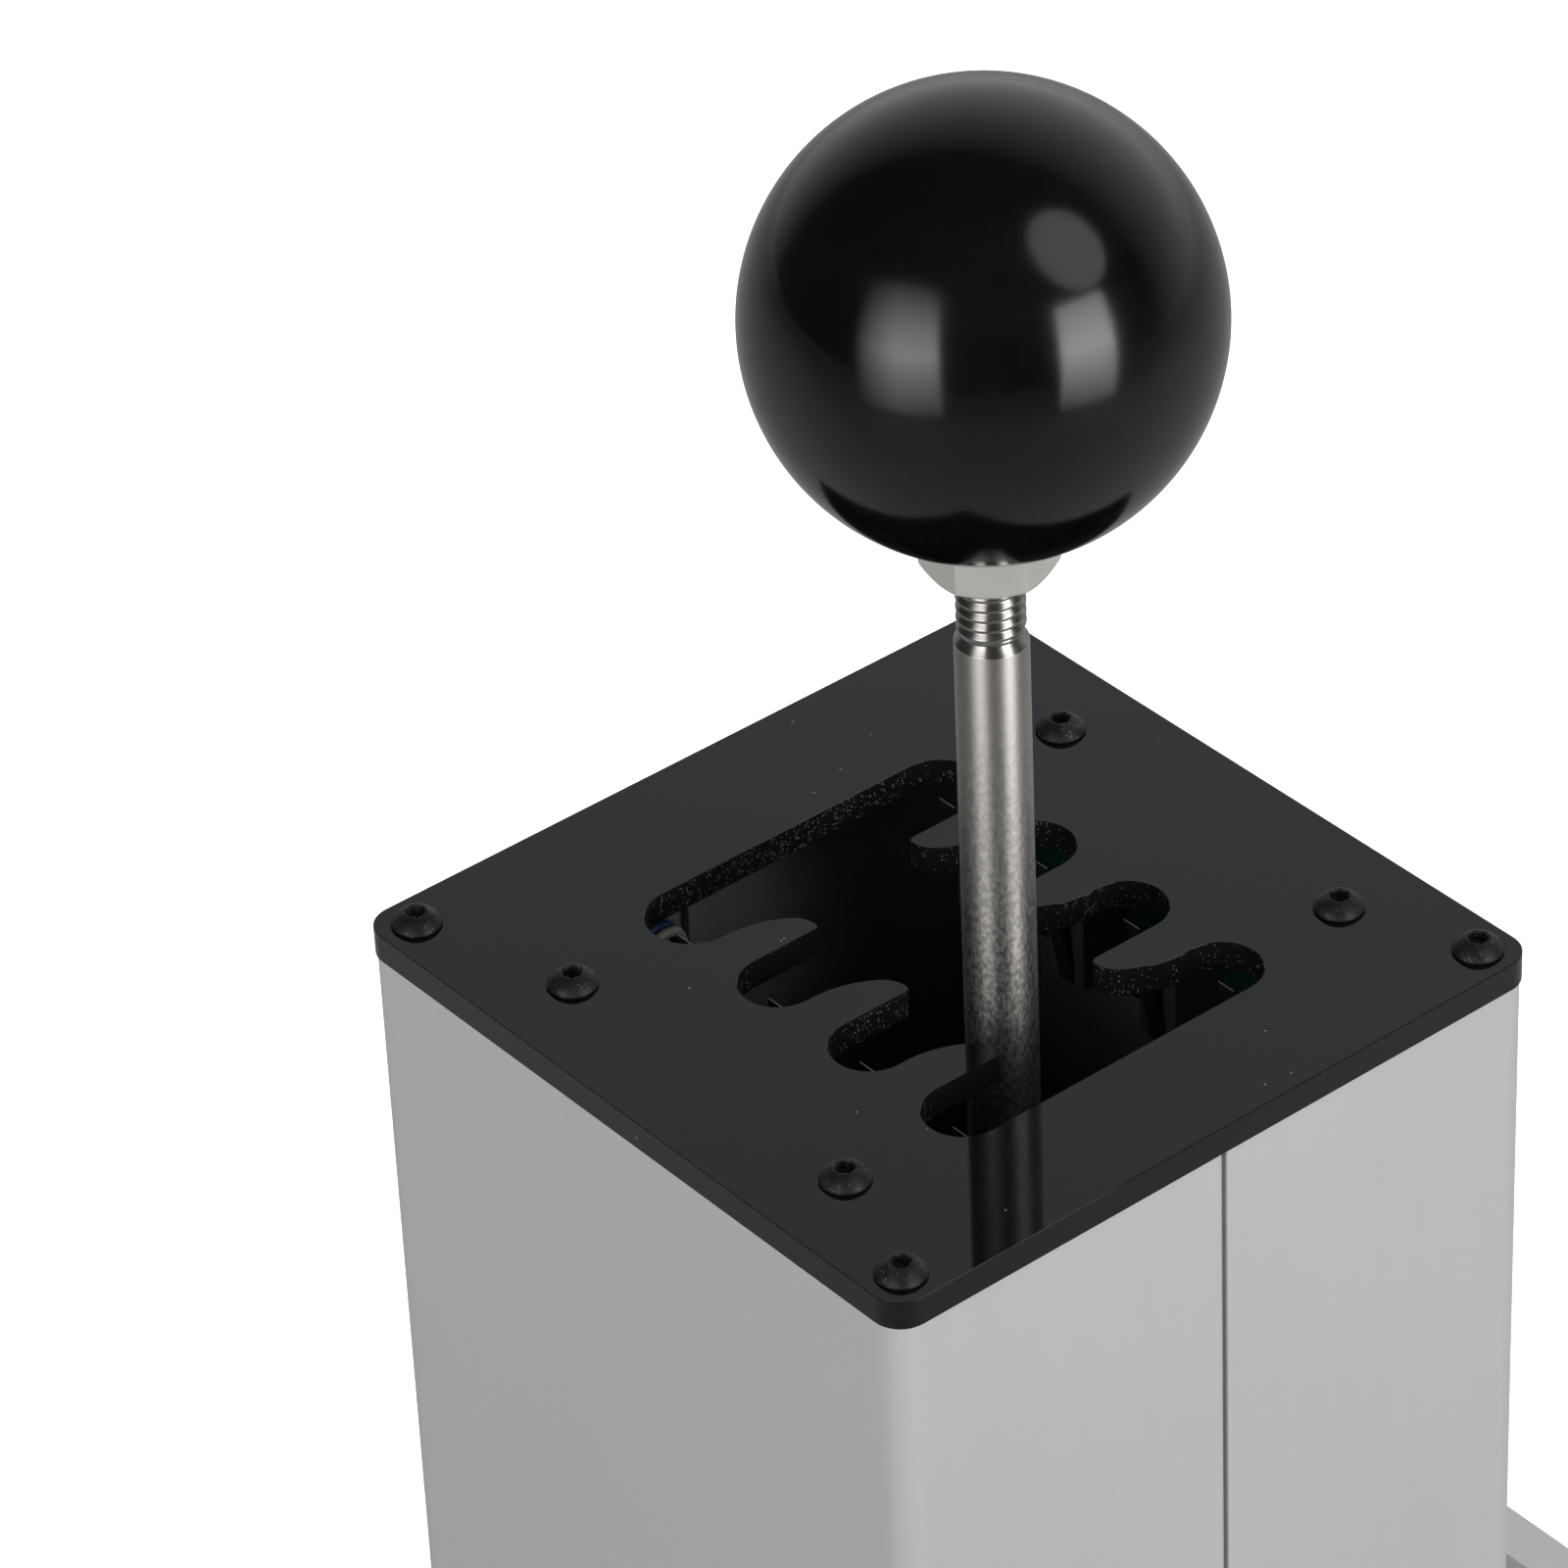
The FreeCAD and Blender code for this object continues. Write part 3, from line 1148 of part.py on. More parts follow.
def make_controller():
    x = "control_board_x"
    width = "control_board_width"
    board = middle_box(x, "board_middle", "board_bottom", width, "control_board_length", "board_thickness")
    holes = []
    pillars = []
    screws = []
    through = "board_thickness + 2 * overcut"
    middle = "base_thickness + standoff_height / 2"
    length = "board_thickness + standoff_height / 2 - tip_gap"
    for x, y in board_holes():
        holes.append(cylinder("clear_hole", through, x, y, "board_bottom - overcut"))
        pillar = hexagon("standoff_half", "standoff_height", x, y, "base_thickness")
        bore = cylinder("tapped_hole", "standoff_height / 2 + overcut", x, y, middle)
        stud = cylinder("small_screw", "base_thickness - tip_gap", x, y, "tip_gap")
        pillars.append(fuse(cut(pillar, bore), stud))
        screws.append(place(button_screw(length), x, y, "board_top"))
    node(cut(board, *holes), "control_board")
    node(group(*pillars), "board_standoffs")
    node(group(*screws), "control_board_screws")
    y = "board_middle + chip_row"
    chip = middle_box("control_board_x", y, "board_top", "chip_side", "chip_side", "chip_height")
    node(group(chip), "controller_chip")


def make_cable_socket():
    """The square socket for the computer's cable, low in the front shell."""
    case = middle_box("0", "socket_depth / 2", "0", "socket_width", "socket_depth", "socket_height")
    width = "socket_width - 2 * socket_wall"
    depth = "socket_depth - socket_floor + overcut"
    height = "socket_height - 2 * socket_wall"
    hollow = middle_box("0", "(%s) / 2 - overcut" % depth, "socket_wall", width, depth, height)
    length = "socket_depth - tongue_inset"
    shelf = "(socket_height - tongue_thickness) / 2"
    middle = "tongue_inset + (%s) / 2" % length
    tongue = middle_box("0", middle, shelf, "2 * tongue_half", length, "tongue_thickness")
    socket = fuse(cut(case, hollow), tongue)
    node(place(socket, "control_board_x", "socket_inset - half_shell", "board_top"), "cable_socket")


def make_wire_headers():
    """The plugs where the wires of the two switch boards end."""
    headers = []
    low = "header_z - header_height / 2"
    row = "(header_front + header_depth / 2)"
    for x, y in (("front_header_x", "-%s" % row), ("rear_header_x", row)):
        headers.append(middle_box(x, y, low, "header_width", "header_depth", "header_height"))
    for x, y in control_headers():
        headers.append(middle_box(x, y, "board_top", "header_width", "header_width", "header_depth"))
    node(group(*headers), "wire_headers")


def control_headers():
    """Middle of the two headers on the control board, for the front and the rear pair of wires."""
    left = "control_board_x - control_board_width / 2 + header_edge"
    right = "control_board_x + control_board_width / 2 - header_width / 2"
    front = "board_middle + header_row"
    return ((left, front), (right, "%s + header_width" % front))


def tube_along(points):
    """A wire's tube: straight runs joined by tangent arcs."""
    edges = []
    start = points[0]
    for index in range(1, len(points) - 1):
        before, corner, after = points[index - 1], points[index], points[index + 1]
        into = (corner - before).normalize()
        out = (after - corner).normalize()
        half_turn = into.getAngle(out) / 2
        shorter = min(corner.distanceToPoint(before), corner.distanceToPoint(after))
        radius = min(size.wire_bend, BEND_SHARE * shorter / math.tan(half_turn))
        setback = radius * math.tan(half_turn)
        first = corner - into * setback
        last = corner + out * setback
        inward = (out - into).normalize()
        middle = corner + inward * (radius / math.cos(half_turn) - radius)
        edges.append(Part.LineSegment(start, first).toShape())
        edges.append(Part.Arc(first, middle, last).toShape())
        start = last
    edges.append(Part.LineSegment(start, points[-1]).toShape())
    path = Part.Wire(edges)
    section = Part.Circle(points[0], points[1] - points[0], size.wire_radius).toShape()
    tube = path.makePipeShell([Part.Wire([section])], True, False)
    expected = math.pi * size.wire_radius ** 2 * path.Length
    if abs(tube.Volume / expected - 1) > TUBE_ERROR:
        raise RuntimeError("a wire's tube has the wrong volume")
    return tube


def front_route(side):
    """From the front switch board's header up over a crest under the gate, then straight down."""
    shift = side * size.wire_spacing / 2
    x = layout.front_header_x + shift
    start = -layout.header_front
    aside = x - size.wire_lean
    over = start + size.wire_over
    over_z = layout.header_z + size.wire_over_rise
    plug_x = size.control_board_x - size.control_board_width / 2 + size.header_edge + shift
    plug_y = layout.board_middle + size.header_row
    plug_z = layout.board_top + size.header_depth
    low = plug_z + size.wire_stand
    return [
        Vector(x, start, layout.header_z),
        Vector(x, start + size.wire_stub, layout.header_z),
        Vector(aside, start + size.wire_crest, layout.header_z + size.wire_crest_rise),
        Vector(aside, over, over_z),
        Vector(aside, over, (over_z + low) / 2),
        Vector(plug_x, plug_y, low),
        Vector(plug_x, plug_y, plug_z),
    ]


def rear_route(side):
    """From the rear switch board's header down beside the pivot frame and round it to the control board."""
    shift = side * size.wire_spacing / 2
    x = layout.rear_header_x + shift
    start = layout.header_front
    reach = start - size.wire_exit
    aside = layout.rest_column + size.frame_half + size.wire_aside + shift
    low = layout.web_top + size.wire_low
    behind = layout.cheek_outside + size.wire_behind + shift
    plug_x = size.control_board_x + (size.control_board_width - size.header_width) / 2 - shift
    plug_y = layout.board_middle + size.header_row + size.header_width
    plug_z = layout.board_top + size.header_depth
    rise = plug_z + size.wire_arch
    return [
        Vector(x, start, layout.header_z),
        Vector(x, reach, layout.header_z),
        Vector(aside, behind - size.wire_bend, (layout.header_z + low) / 2),
        Vector(aside, behind, low),
        Vector(plug_x, behind, low),
        Vector(plug_x, plug_y + size.wire_run, rise),
        Vector(plug_x, plug_y, rise),
        Vector(plug_x, plug_y, plug_z),
    ]


def make_wires():
    for name, side in (("blue_wires", -1), ("white_wires", 1)):
        strands = []
        for route in (front_route(side), rear_route(side)):
            strand = add("Part::Feature")
            strand.Shape = tube_along(route)
            strands.append(strand)
        node(group(*strands), name)


# Making and writing

def make_everything():
    make_base_plate()
    make_front_shell()
    make_rear_shell()
    make_gate_plate()
    make_plate_screws()
    make_base_screws()
    for name, y_sign in (("front", -1), ("rear", 1)):
        make_switch_bracket(name, y_sign)
        make_switch_board(name, y_sign)
        make_switches(name, y_sign)
    make_pivot_frame()
    make_frame_screws()
    make_side_axis()
    make_yoke()
    make_cross_axis()
    make_lever_block()
    make_rod()
    make_jam_nut()
    make_knob()
    make_plunger()
    make_detent_plate()
    make_centring_springs()
    make_controller()
    make_cable_socket()
    make_wire_headers()
    make_wires()


def check_everything():
    """Stop if a feature failed, a pocket cut nothing or a sub-part is not a valid solid."""
    for item in doc.Objects:
        if "Invalid" in item.State or "Error" in item.State:
            raise RuntimeError("%s (%s) failed: %s" % (item.Name, item.Label, item.State))
        if item.TypeId == "PartDesign::Pocket" and item.Shape.Volume >= item.BaseFeature.Shape.Volume:
            raise RuntimeError("%s cuts nothing" % item.Name)
    for item in nodes:
        shape = item.Shape
        if shape.isNull() or not shape.isValid() or not shape.Solids:
            raise RuntimeError("%s has no valid shape" % item.Label)


def write_everything():
    os.makedirs("parts", exist_ok=True)
    for item in nodes:
        item.Shape.exportStep("parts/%s.step" % item.Label)
        box_of = item.Shape.BoundBox
        print("%-22s %2d solids %9.1f mm3  z %.2f to %.2f" % (
            item.Label, len(item.Shape.Solids), item.Shape.Volume, box_of.ZMin, box_of.ZMax))


make_everything()
doc.recompute()
check_everything()
write_everything()
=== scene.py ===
import math

import bmesh
import bpy
from bpy.props import FloatProperty, FloatVectorProperty, IntProperty, PointerProperty
from mathutils import Matrix, Vector
from mathutils.geometry import tessellate_polygon


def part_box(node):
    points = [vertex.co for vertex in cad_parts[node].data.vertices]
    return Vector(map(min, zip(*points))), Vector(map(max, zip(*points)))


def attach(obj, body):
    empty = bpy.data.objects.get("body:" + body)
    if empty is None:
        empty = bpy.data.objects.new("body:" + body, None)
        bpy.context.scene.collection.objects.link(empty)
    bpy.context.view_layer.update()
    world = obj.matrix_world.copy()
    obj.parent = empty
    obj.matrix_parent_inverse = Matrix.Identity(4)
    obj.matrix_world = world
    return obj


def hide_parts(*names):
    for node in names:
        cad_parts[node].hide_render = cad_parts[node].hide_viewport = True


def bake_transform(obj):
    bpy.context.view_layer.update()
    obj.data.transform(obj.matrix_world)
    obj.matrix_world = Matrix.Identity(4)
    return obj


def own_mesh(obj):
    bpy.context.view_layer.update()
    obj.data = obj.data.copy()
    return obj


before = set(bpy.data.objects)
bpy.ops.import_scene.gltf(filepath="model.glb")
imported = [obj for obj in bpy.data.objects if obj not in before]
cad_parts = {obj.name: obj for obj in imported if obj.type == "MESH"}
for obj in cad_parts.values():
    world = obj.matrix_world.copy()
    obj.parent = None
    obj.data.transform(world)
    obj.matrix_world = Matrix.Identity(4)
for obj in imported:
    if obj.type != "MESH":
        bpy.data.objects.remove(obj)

bl_info = {
    "name": "H-Pattern Gear Shifter",
    "version": (1, 0, 0),
    "blender": (4, 5, 0),
    "location": "View3D > Sidebar > Shifter",
    "description": "Dresses the packed gear shifter: its knob, rod, gate, screws, springs and finishes",
    "category": "Object",
}

MM = 0.001
MICRON = MM / 1000
FULL_TURN = 2 * math.pi
# Half the side of the square that the plate's rim and the box's outer walls stand round.
INNER_HALF = 43 * MM
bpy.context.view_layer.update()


# Settings

def length(name, description, millimetres):
    """A length that the user can change."""
    return FloatProperty(name=name, description=description, default=millimetres * MM, min=0, unit="LENGTH")


def colour(name, description, red, green, blue):
    """A linear colour that the user can change."""
    return FloatVectorProperty(
        name=name, description=description, default=(red, green, blue), min=0, max=1, subtype="COLOR")


def grey(name, description, level):
    """A linear grey that the user can change."""
    return colour(name, description, level, level, level)


def radiance(name, description, level):
    """The strength of a light that the user can change."""
    return FloatProperty(name=name, description=description, default=level, min=0)


class ShifterSizes(bpy.types.PropertyGroup):
    """Sizes of the details that the dressed pieces add to the solids."""

    knob_edge: length("Knob edge", "Rounding where the ball meets its flat", 0.5)
    thread_pitch: length("Thread pitch", "Pitch of the rod's thread", 1.25)
    thread_crest: length("Thread crest", "Radius of the rod's thread over its crests", 3.72)
    thread_root: length("Thread root", "Radius of the rod's thread at its roots", 3.3)
    nut_flat: length("Nut flat", "Half the width across the jam nut's flats", 6.5)
    nut_face: length("Nut face", "Radius of the jam nut's flat end faces", 6.3)
    nut_turn: FloatProperty(
        name="Nut turn", description="How far the jam nut is turned on its thread",
        default=math.radians(-9), subtype="ANGLE")
    plate_edge: length("Plate edge", "Bevel along the edges of the gate plate", 0.06)
    socket_half: length("Socket half", "Half the width of the screws' hexagon sockets", 1.0)
    socket_depth: length("Socket depth", "Depth of the screws' hexagon sockets", 1.04)
    leaf_thickness: length("Leaf thickness", "Thickness of a switch leaf", 0.16)
    centring_wire: length("Centring wire", "Wire thickness of the centring springs", 0.7)
    plunger_wire: length("Plunger wire", "Wire thickness of the plunger spring", 0.6)
    wire_thickness: length("Wire thickness", "Outside diameter of the insulated wires", 1.2)
    wire_spacing: length("Wire spacing", "Distance between the two wires of a pair", 1.6)
    round_steps: IntProperty(
        name="Round steps", description="Points round a turned piece", default=96, min=12, max=256)


class ShifterColours(bpy.types.PropertyGroup):
    """Colours of the visible finishes."""

    plate: colour("Gate plate", "Polished black sheet", 0.0040, 0.0045, 0.0046)
    knob: colour("Ball knob", "Polished black resin", 0.0014, 0.0020, 0.0017)
    box: colour("Box", "Satin anodised aluminium", 0.80, 0.80, 0.81)
    rod: colour("Rod", "Ground stainless steel", 0.48, 0.462, 0.438)
    nut: colour("Jam nut", "Satin stainless steel", 0.82, 0.795, 0.755)
    screws: colour("Screws", "Black oxide", 0.017, 0.016, 0.014)
    bracket: colour("Brackets", "Black powder coat", 0.16, 0.166, 0.163)
    board: colour("Boards", "Green solder mask", 0.007, 0.034, 0.020)
    blue_wire: colour("Blue wire", "Insulation of the blue wires", 0.020, 0.07, 0.16)
    white_wire: colour("White wire", "Insulation of the white wires", 0.42, 0.42, 0.40)


class ShifterStage(bpy.types.PropertyGroup):
    """The camera, the floor and the light."""

    camera_place: FloatVectorProperty(
        name="Camera place", description="Position of the camera", default=(0.499758, -0.413175, 0.596648),
        subtype="TRANSLATION", unit="LENGTH")
    camera_turn: FloatVectorProperty(
        name="Camera turn", description="Direction of the camera",
        default=(math.radians(54.5208), math.radians(2.1855), math.radians(50.3137)), subtype="EULER")
    camera_lens: FloatProperty(
        name="Lens", description="Focal length in millimetres", default=171.93, min=1)
    floor_side: FloatProperty(
        name="Floor side", description="Side of the square floor", default=14.0, min=1, unit="LENGTH")
    left_window: radiance("Left window", "Radiance of the left window", 4.3)
    right_window: radiance("Right window", "Radiance of the right window", 6.3)
    round_light: radiance("Round light", "Radiance of the round light", 1.3)
    floor_light: radiance("Floor light", "Radiance of the light that only the floor receives", 1.9)
    floor: grey("Floor", "Pale floor", 0.94)
    near_floor: grey("Near floor", "Floor on the camera's side as the shifter reflects it", 0.098)
    side_floor: grey("Side floor", "Floor round the shifter as the shifter reflects it", 0.165)
    far_floor: colour(
        "Far floor", "Floor far behind the shifter as the shifter reflects it", 0.46, 0.47, 0.475)
    near_sky: grey("Near sky", "Light from the camera's side", 0.05)
    far_sky: colour("Far sky", "Light from behind the shifter", 0.82, 0.85, 0.87)


# Shaders

class Signal:
    """A shader socket. An expression on it adds Math nodes."""

    def __init__(self, finish, socket):
        self.finish = finish
        self.socket = socket

    def maths(self, operation, first, second):
        """Add a Math node for two values or signals."""
        return self.finish.node("ShaderNodeMath", {"operation": operation}, {0: first, 1: second})

    def __add__(self, other):
        return self.maths("ADD", self, other)

    __radd__ = __add__

    def __mul__(self, other):
        return self.maths("MULTIPLY", self, other)

    __rmul__ = __mul__

    def __sub__(self, other):
        return self.maths("SUBTRACT", self, other)

    def __rsub__(self, other):
        return self.maths("SUBTRACT", other, self)

    def __pow__(self, other):
        return self.maths("POWER", self, other)

    def __gt__(self, other):
        return self.maths("GREATER_THAN", self, other)

    def __lt__(self, other):
        return self.maths("LESS_THAN", self, other)


class Finish:
    """The nodes of a material, a light or the sky, and the recipes that they share."""

    def __init__(self, name, owner=None):
        self.owner = owner or bpy.data.materials.new(name)
        self.owner.use_nodes = True
        self.tree = self.owner.node_tree
        self.tree.nodes.clear()

    def node(self, kind, settings=None, sockets=None, out=0):
        """Add a node with its settings and its sockets' values or links, and give one of its outputs."""
        made = self.tree.nodes.new(kind)
        for name, value in (settings or {}).items():
            setattr(made, name, value)
        for key, value in (sockets or {}).items():
            if isinstance(value, Signal):
                self.tree.links.new(value.socket, made.inputs[key])
            else:
                made.inputs[key].default_value = value
        return Signal(self, made.outputs[out])

    def place(self, stretch=(1, 1, 1)):
        """Coordinates that stay on the piece, in metres, multiplied along each axis."""
        here = self.node("ShaderNodeTexCoord", out="Object")
        return self.node("ShaderNodeVectorMath", {"operation": "MULTIPLY"}, {0: here, 1: stretch})

    def part(self, vector, axis):
        """The X, Y or Z of a vector."""
        return self.node("ShaderNodeSeparateXYZ", {}, {0: vector}, axis)

    def along(self, vector, direction):
        """How far a vector reaches in a direction."""
        return self.node(
            "ShaderNodeVectorMath", {"operation": "DOT_PRODUCT"}, {0: vector, 1: direction}, "Value")

    def inside(self):
        """1 inside the square of the plate's rim and the outer walls, and 0 on them."""
        here = self.place()
        x, y = (self.part(here, axis) for axis in "XY")
        return (x * x < INNER_HALF ** 2) * (y * y < INNER_HALF ** 2)

    def seen(self):
        """1 where the camera looks straight at the surface, and 0 in reflections and bounced light."""
        return self.node("ShaderNodeLightPath", out="Is Camera Ray")

    def noise(self, scale, detail=2.0, stretch=(1, 1, 1)):
        """Soft noise from 0 to 1, with scale in cycles per metre."""
        return self.node("ShaderNodeTexNoise", {}, {
            "Vector": self.place(stretch), "Scale": scale, "Detail": detail})

    def specks(self, scale, size, share):
        """Small round specks: 1 on a speck and 0 elsewhere, in a share of the cells."""
        settings = {"feature": "F1"}
        sockets = {"Vector": self.place(), "Scale": scale}
        near = self.node("ShaderNodeTexVoronoi", settings, sockets, "Distance") < size
        cell = self.node("ShaderNodeTexVoronoi", settings, sockets, "Color")
        lot = self.node("ShaderNodeSeparateColor", {}, {0: cell})
        return near * (lot < share)

    def ramp(self, value, low, high, start=0.0, end=1.0):
        """Map a value from low..high to start..end, held at both ends."""
        return self.node("ShaderNodeMapRange", {}, {
            "Value": value, "From Min": low, "From Max": high, "To Min": start, "To Max": end})

    def spread(self, noise, start, end):
        """Map the middle stretch of a noise, where most of it lies, to start..end."""
        return self.ramp(noise, 0.3, 0.7, start, end)

    def uneven(self, noise, roughness):
        """A roughness that a noise varies by 15 percent either way."""
        return self.spread(noise, roughness * 0.85, roughness * 1.15)

    def mix(self, share, first, second):
        """Mix two colours."""
        sockets = {0: share, 6: rgba(first), 7: rgba(second)}
        return self.node("ShaderNodeMix", {"data_type": "RGBA"}, sockets, 2)

    def bump(self, height, microns, under=None):
        """Turn heights from 0 to 1 into a normal."""
        sockets = {"Height": height, "Distance": microns * MICRON, "Strength": 1.0}
        if under is not None:
            sockets["Normal"] = under
        return self.node("ShaderNodeBump", {}, sockets)

    def worn_edge(self, radius):
        """A normal that rounds the sharp edges of a solid, or none where the radius is 0."""
        return self.node("ShaderNodeBevel", {"samples": 6}, {"Radius": radius}) if radius else None

    def shade(self, sockets):
        """Finish with the main shader and give the material."""
        return self.output("Material", self.node("ShaderNodeBsdfPrincipled", {}, sockets))

    def output(self, kind, surface):
        """Link a shader to a kind of output and give what owns the nodes."""
        made = self.tree.nodes.new("ShaderNodeOutput" + kind)
        self.tree.links.new(surface.socket, made.inputs["Surface"])
        return self.owner


def rgba(value):
    """A colour with its alpha, or a link as it is."""
    return value if isinstance(value, Signal) else (*value[:3], 1.0)


def shades(tone, spread):
    """A colour a little darker and a little lighter than the given one."""
    dark = [part * (1 - spread) for part in tone]
    light = [min(1.0, part * (1 + spread)) for part in tone]
    return dark, light


def metal_finish(
        name, tone, roughness, grain, depth, stretch=(1, 1, 1), spread=0.06, edge=0.0, metallic=1.0):
    """Bare metal: cloudy tone, uneven roughness and tool marks. The depth is in microns, here and below."""
    finish = Finish(name)
    cloud = finish.noise(90, 3.0)
    marks = finish.noise(grain, stretch=stretch)
    return finish.shade({
        "Base Color": finish.mix(cloud * 0.6 + marks * 0.4, *shades(tone, spread)),
        "Metallic": metallic,
        "Roughness": finish.uneven(cloud, roughness),
        "Normal": finish.bump(marks, depth, finish.worn_edge(edge)),
    })


def plastic_finish(name, tone, roughness, grain, depth, spread=0.12, edge=0.0):
    """Moulded or coated plastic: faint cloudiness and a moulded texture."""
    finish = Finish(name)
    cloud = finish.noise(140, 3.0)
    texture = finish.noise(grain, 3.0)
    return finish.shade({
        "Base Color": finish.mix(cloud, *shades(tone, spread)),
        "Roughness": finish.uneven(texture, roughness),
        "Normal": finish.bump(texture, depth, finish.worn_edge(edge)),
    })


def polished_sheet(tone):
    """Black sheet: mirror-smooth and dusty on its faces and rim, dull inside the columns, with pale specks
    there that are partly chips and partly painted glints.
    """
    finish = Finish("polished_black_sheet")
    dust_tone = (0.34, 0.34, 0.33)
    wall_tone = (0.0048, 0.0054, 0.0054)
    chip_and_glint_tone = (0.21, 0.225, 0.225)
    upward = finish.part(finish.node("ShaderNodeTexCoord", out="Normal"), "Z")
    wall = (upward * upward < 0.3) * finish.inside()
    dust = finish.specks(700, 0.09, 0.04) + finish.specks(260, 0.035, 0.08)
    # Pale specks on the column walls: partly real chips, partly painted glints off the rough walls.
    chips_and_glints = finish.specks(3600, 0.30, 0.3) * (finish.noise(900) > 0.47) * wall
    smear = finish.noise(35, 3.0)
    pits = finish.noise(2200, 3.0, (1, 1, 0.4)) * wall
    base = finish.mix(dust * (1 - wall), tone, dust_tone)
    base = finish.mix(wall, base, wall_tone)
    return finish.shade({
        "Base Color": finish.mix(chips_and_glints, base, chip_and_glint_tone),
        "Roughness": finish.ramp(smear, 0.35, 0.75, 0.035, 0.075) + wall * 0.34 + dust * 0.3,
        "IOR": 1.49,
        "Normal": finish.bump(pits, 60, finish.bump(finish.noise(60, 1.0), 10)),
    })


def polished_resin(tone):
    """The ball: glossy black with a soft bloom of handling marks and a few pale specks."""
    finish = Finish("polished_black_resin")
    bloom_tone = (0.0085, 0.0085, 0.0078)
    speck_tone = (0.06, 0.06, 0.058)
    touch = finish.noise(70, 4.0, (1, 1, 1.6))
    streak = finish.noise(420, 3.0, (1, 1, 0.3))
    specks = finish.specks(420, 0.05, 0.05)
    bloom = finish.ramp(touch * 0.7 + streak * 0.3, 0.40, 0.70)
    base = finish.mix(bloom * 0.5, tone, bloom_tone)
    return finish.shade({
        "Base Color": finish.mix(specks, base, speck_tone),
        "Roughness": finish.spread(touch, 0.10, 0.17) + specks * 0.2,
        "IOR": 1.53,
        "Normal": finish.bump(finish.noise(160), 12),
    })


def anodised(tone):
    """Satin anodised walls: an even grain with drawn streaks up the wall, and painted shade that darkens
    the faces inside the box.
    """
    finish = Finish("satin_anodised_aluminium")
    scuff_tone = (0.9, 0.9, 0.91)
    # Painted shade: the colour given to the faces inside the box.
    inner_shade_tone = (0.26, 0.27, 0.26)
    grain = finish.noise(5200)
    streak = finish.noise(300, 3.0, (1, 1, 0.02))
    cloud = finish.noise(22)
    scuff = finish.noise(260, 4.0, (1, 1, 0.12)) > 0.735
    base = finish.mix(cloud * 0.5 + streak * 0.25 + grain * 0.25, *shades(tone, 0.05))
    base = finish.mix(scuff * 0.12, base, scuff_tone)
    return finish.shade({
        # Painted shade: faces inside the square of the outer walls, the box's inside and the deep part of
        # its seams, take a much darker colour.
        "Base Color": finish.mix(finish.inside(), base, inner_shade_tone),
        "Metallic": 0.3,
        "Roughness": finish.spread(streak * 0.5 + cloud * 0.5, 0.38, 0.46),
        "Normal": finish.bump(grain, 22, finish.worn_edge(0.5 * MM)),
    })


def ground_rod(tone):
    """Ground bar: a fine grain, the more worn the nearer it comes to the gate."""
    finish = Finish("ground_stainless")
    wear_start = 155 * MM
    wear_full = 118 * MM
    rings = finish.noise(1.0, stretch=(90, 90, 5200))
    mottle = finish.noise(2400, stretch=(1, 1, 0.6))
    wear = finish.ramp(finish.part(finish.place(), "Z"), wear_start, wear_full, 0.15, 1.0)
    grains = finish.ramp(mottle, 0.35, 0.65, -0.5, 0.5) * wear
    return finish.shade({
        "Base Color": finish.mix(0.5 + grains, *shades(tone, 0.28)),
        "Metallic": 1.0,
        "Roughness": 0.46 + grains * 0.08,
        "Anisotropic": 0.55,
        "Anisotropic Rotation": 0.25,
        "Normal": finish.bump(rings, 1.2),
    })


def bright_thread(tone):
    """The rod's shoulder, neck and thread: turned bright."""
    finish = Finish("turned_thread")
    marks = finish.noise(1.0, stretch=(200, 200, 9000))
    cloud = finish.noise(600)
    return finish.shade({
        "Base Color": finish.mix(cloud, *shades([part * 0.72 for part in tone], 0.12)),
        "Metallic": 1.0,
        "Roughness": finish.spread(cloud, 0.19, 0.27),
        "Normal": finish.bump(marks, 0.6),
    })


def black_oxide(tone):
    """Black oxide on the screws: dull black that is rubbed and nicked lighter in places."""
    finish = Finish("black_oxide")
    bare_tone = (0.17, 0.163, 0.15)
    cloud = finish.noise(900, 4.0)
    rub = finish.ramp(finish.noise(500, 3.0), 0.55, 0.8)
    nicks = finish.specks(3000, 0.3, 0.16)
    return finish.shade({
        "Base Color": finish.mix(rub * 0.35 + nicks * 0.75, tone, bare_tone),
        "Metallic": 0.35,
        "Roughness": finish.spread(cloud, 0.42, 0.56),
        "Normal": finish.bump(cloud, 12),
    })


def circuit_board(tone):
    """Green solder mask with darker tracks under it and pale pads."""
    finish = Finish("green_circuit_board")
    pad_tone = (0.45, 0.42, 0.36)
    bricks = {"Vector": finish.place(), "Scale": 160.0, "Mortar Size": 0.035}
    tracks = finish.node("ShaderNodeTexBrick", {"offset": 0.5}, bricks, "Fac")
    pads = finish.specks(380, 0.22, 0.12)
    base = finish.mix(tracks * 0.5, tone, [part * 0.55 for part in tone])
    return finish.shade({
        "Base Color": finish.mix(pads, base, pad_tone),
        "Metallic": pads * 0.8,
        "Roughness": 0.28 + pads * 0.1,
        "Normal": finish.bump(tracks * 0.5 + pads, 30, finish.worn_edge(0.1 * MM)),
    })


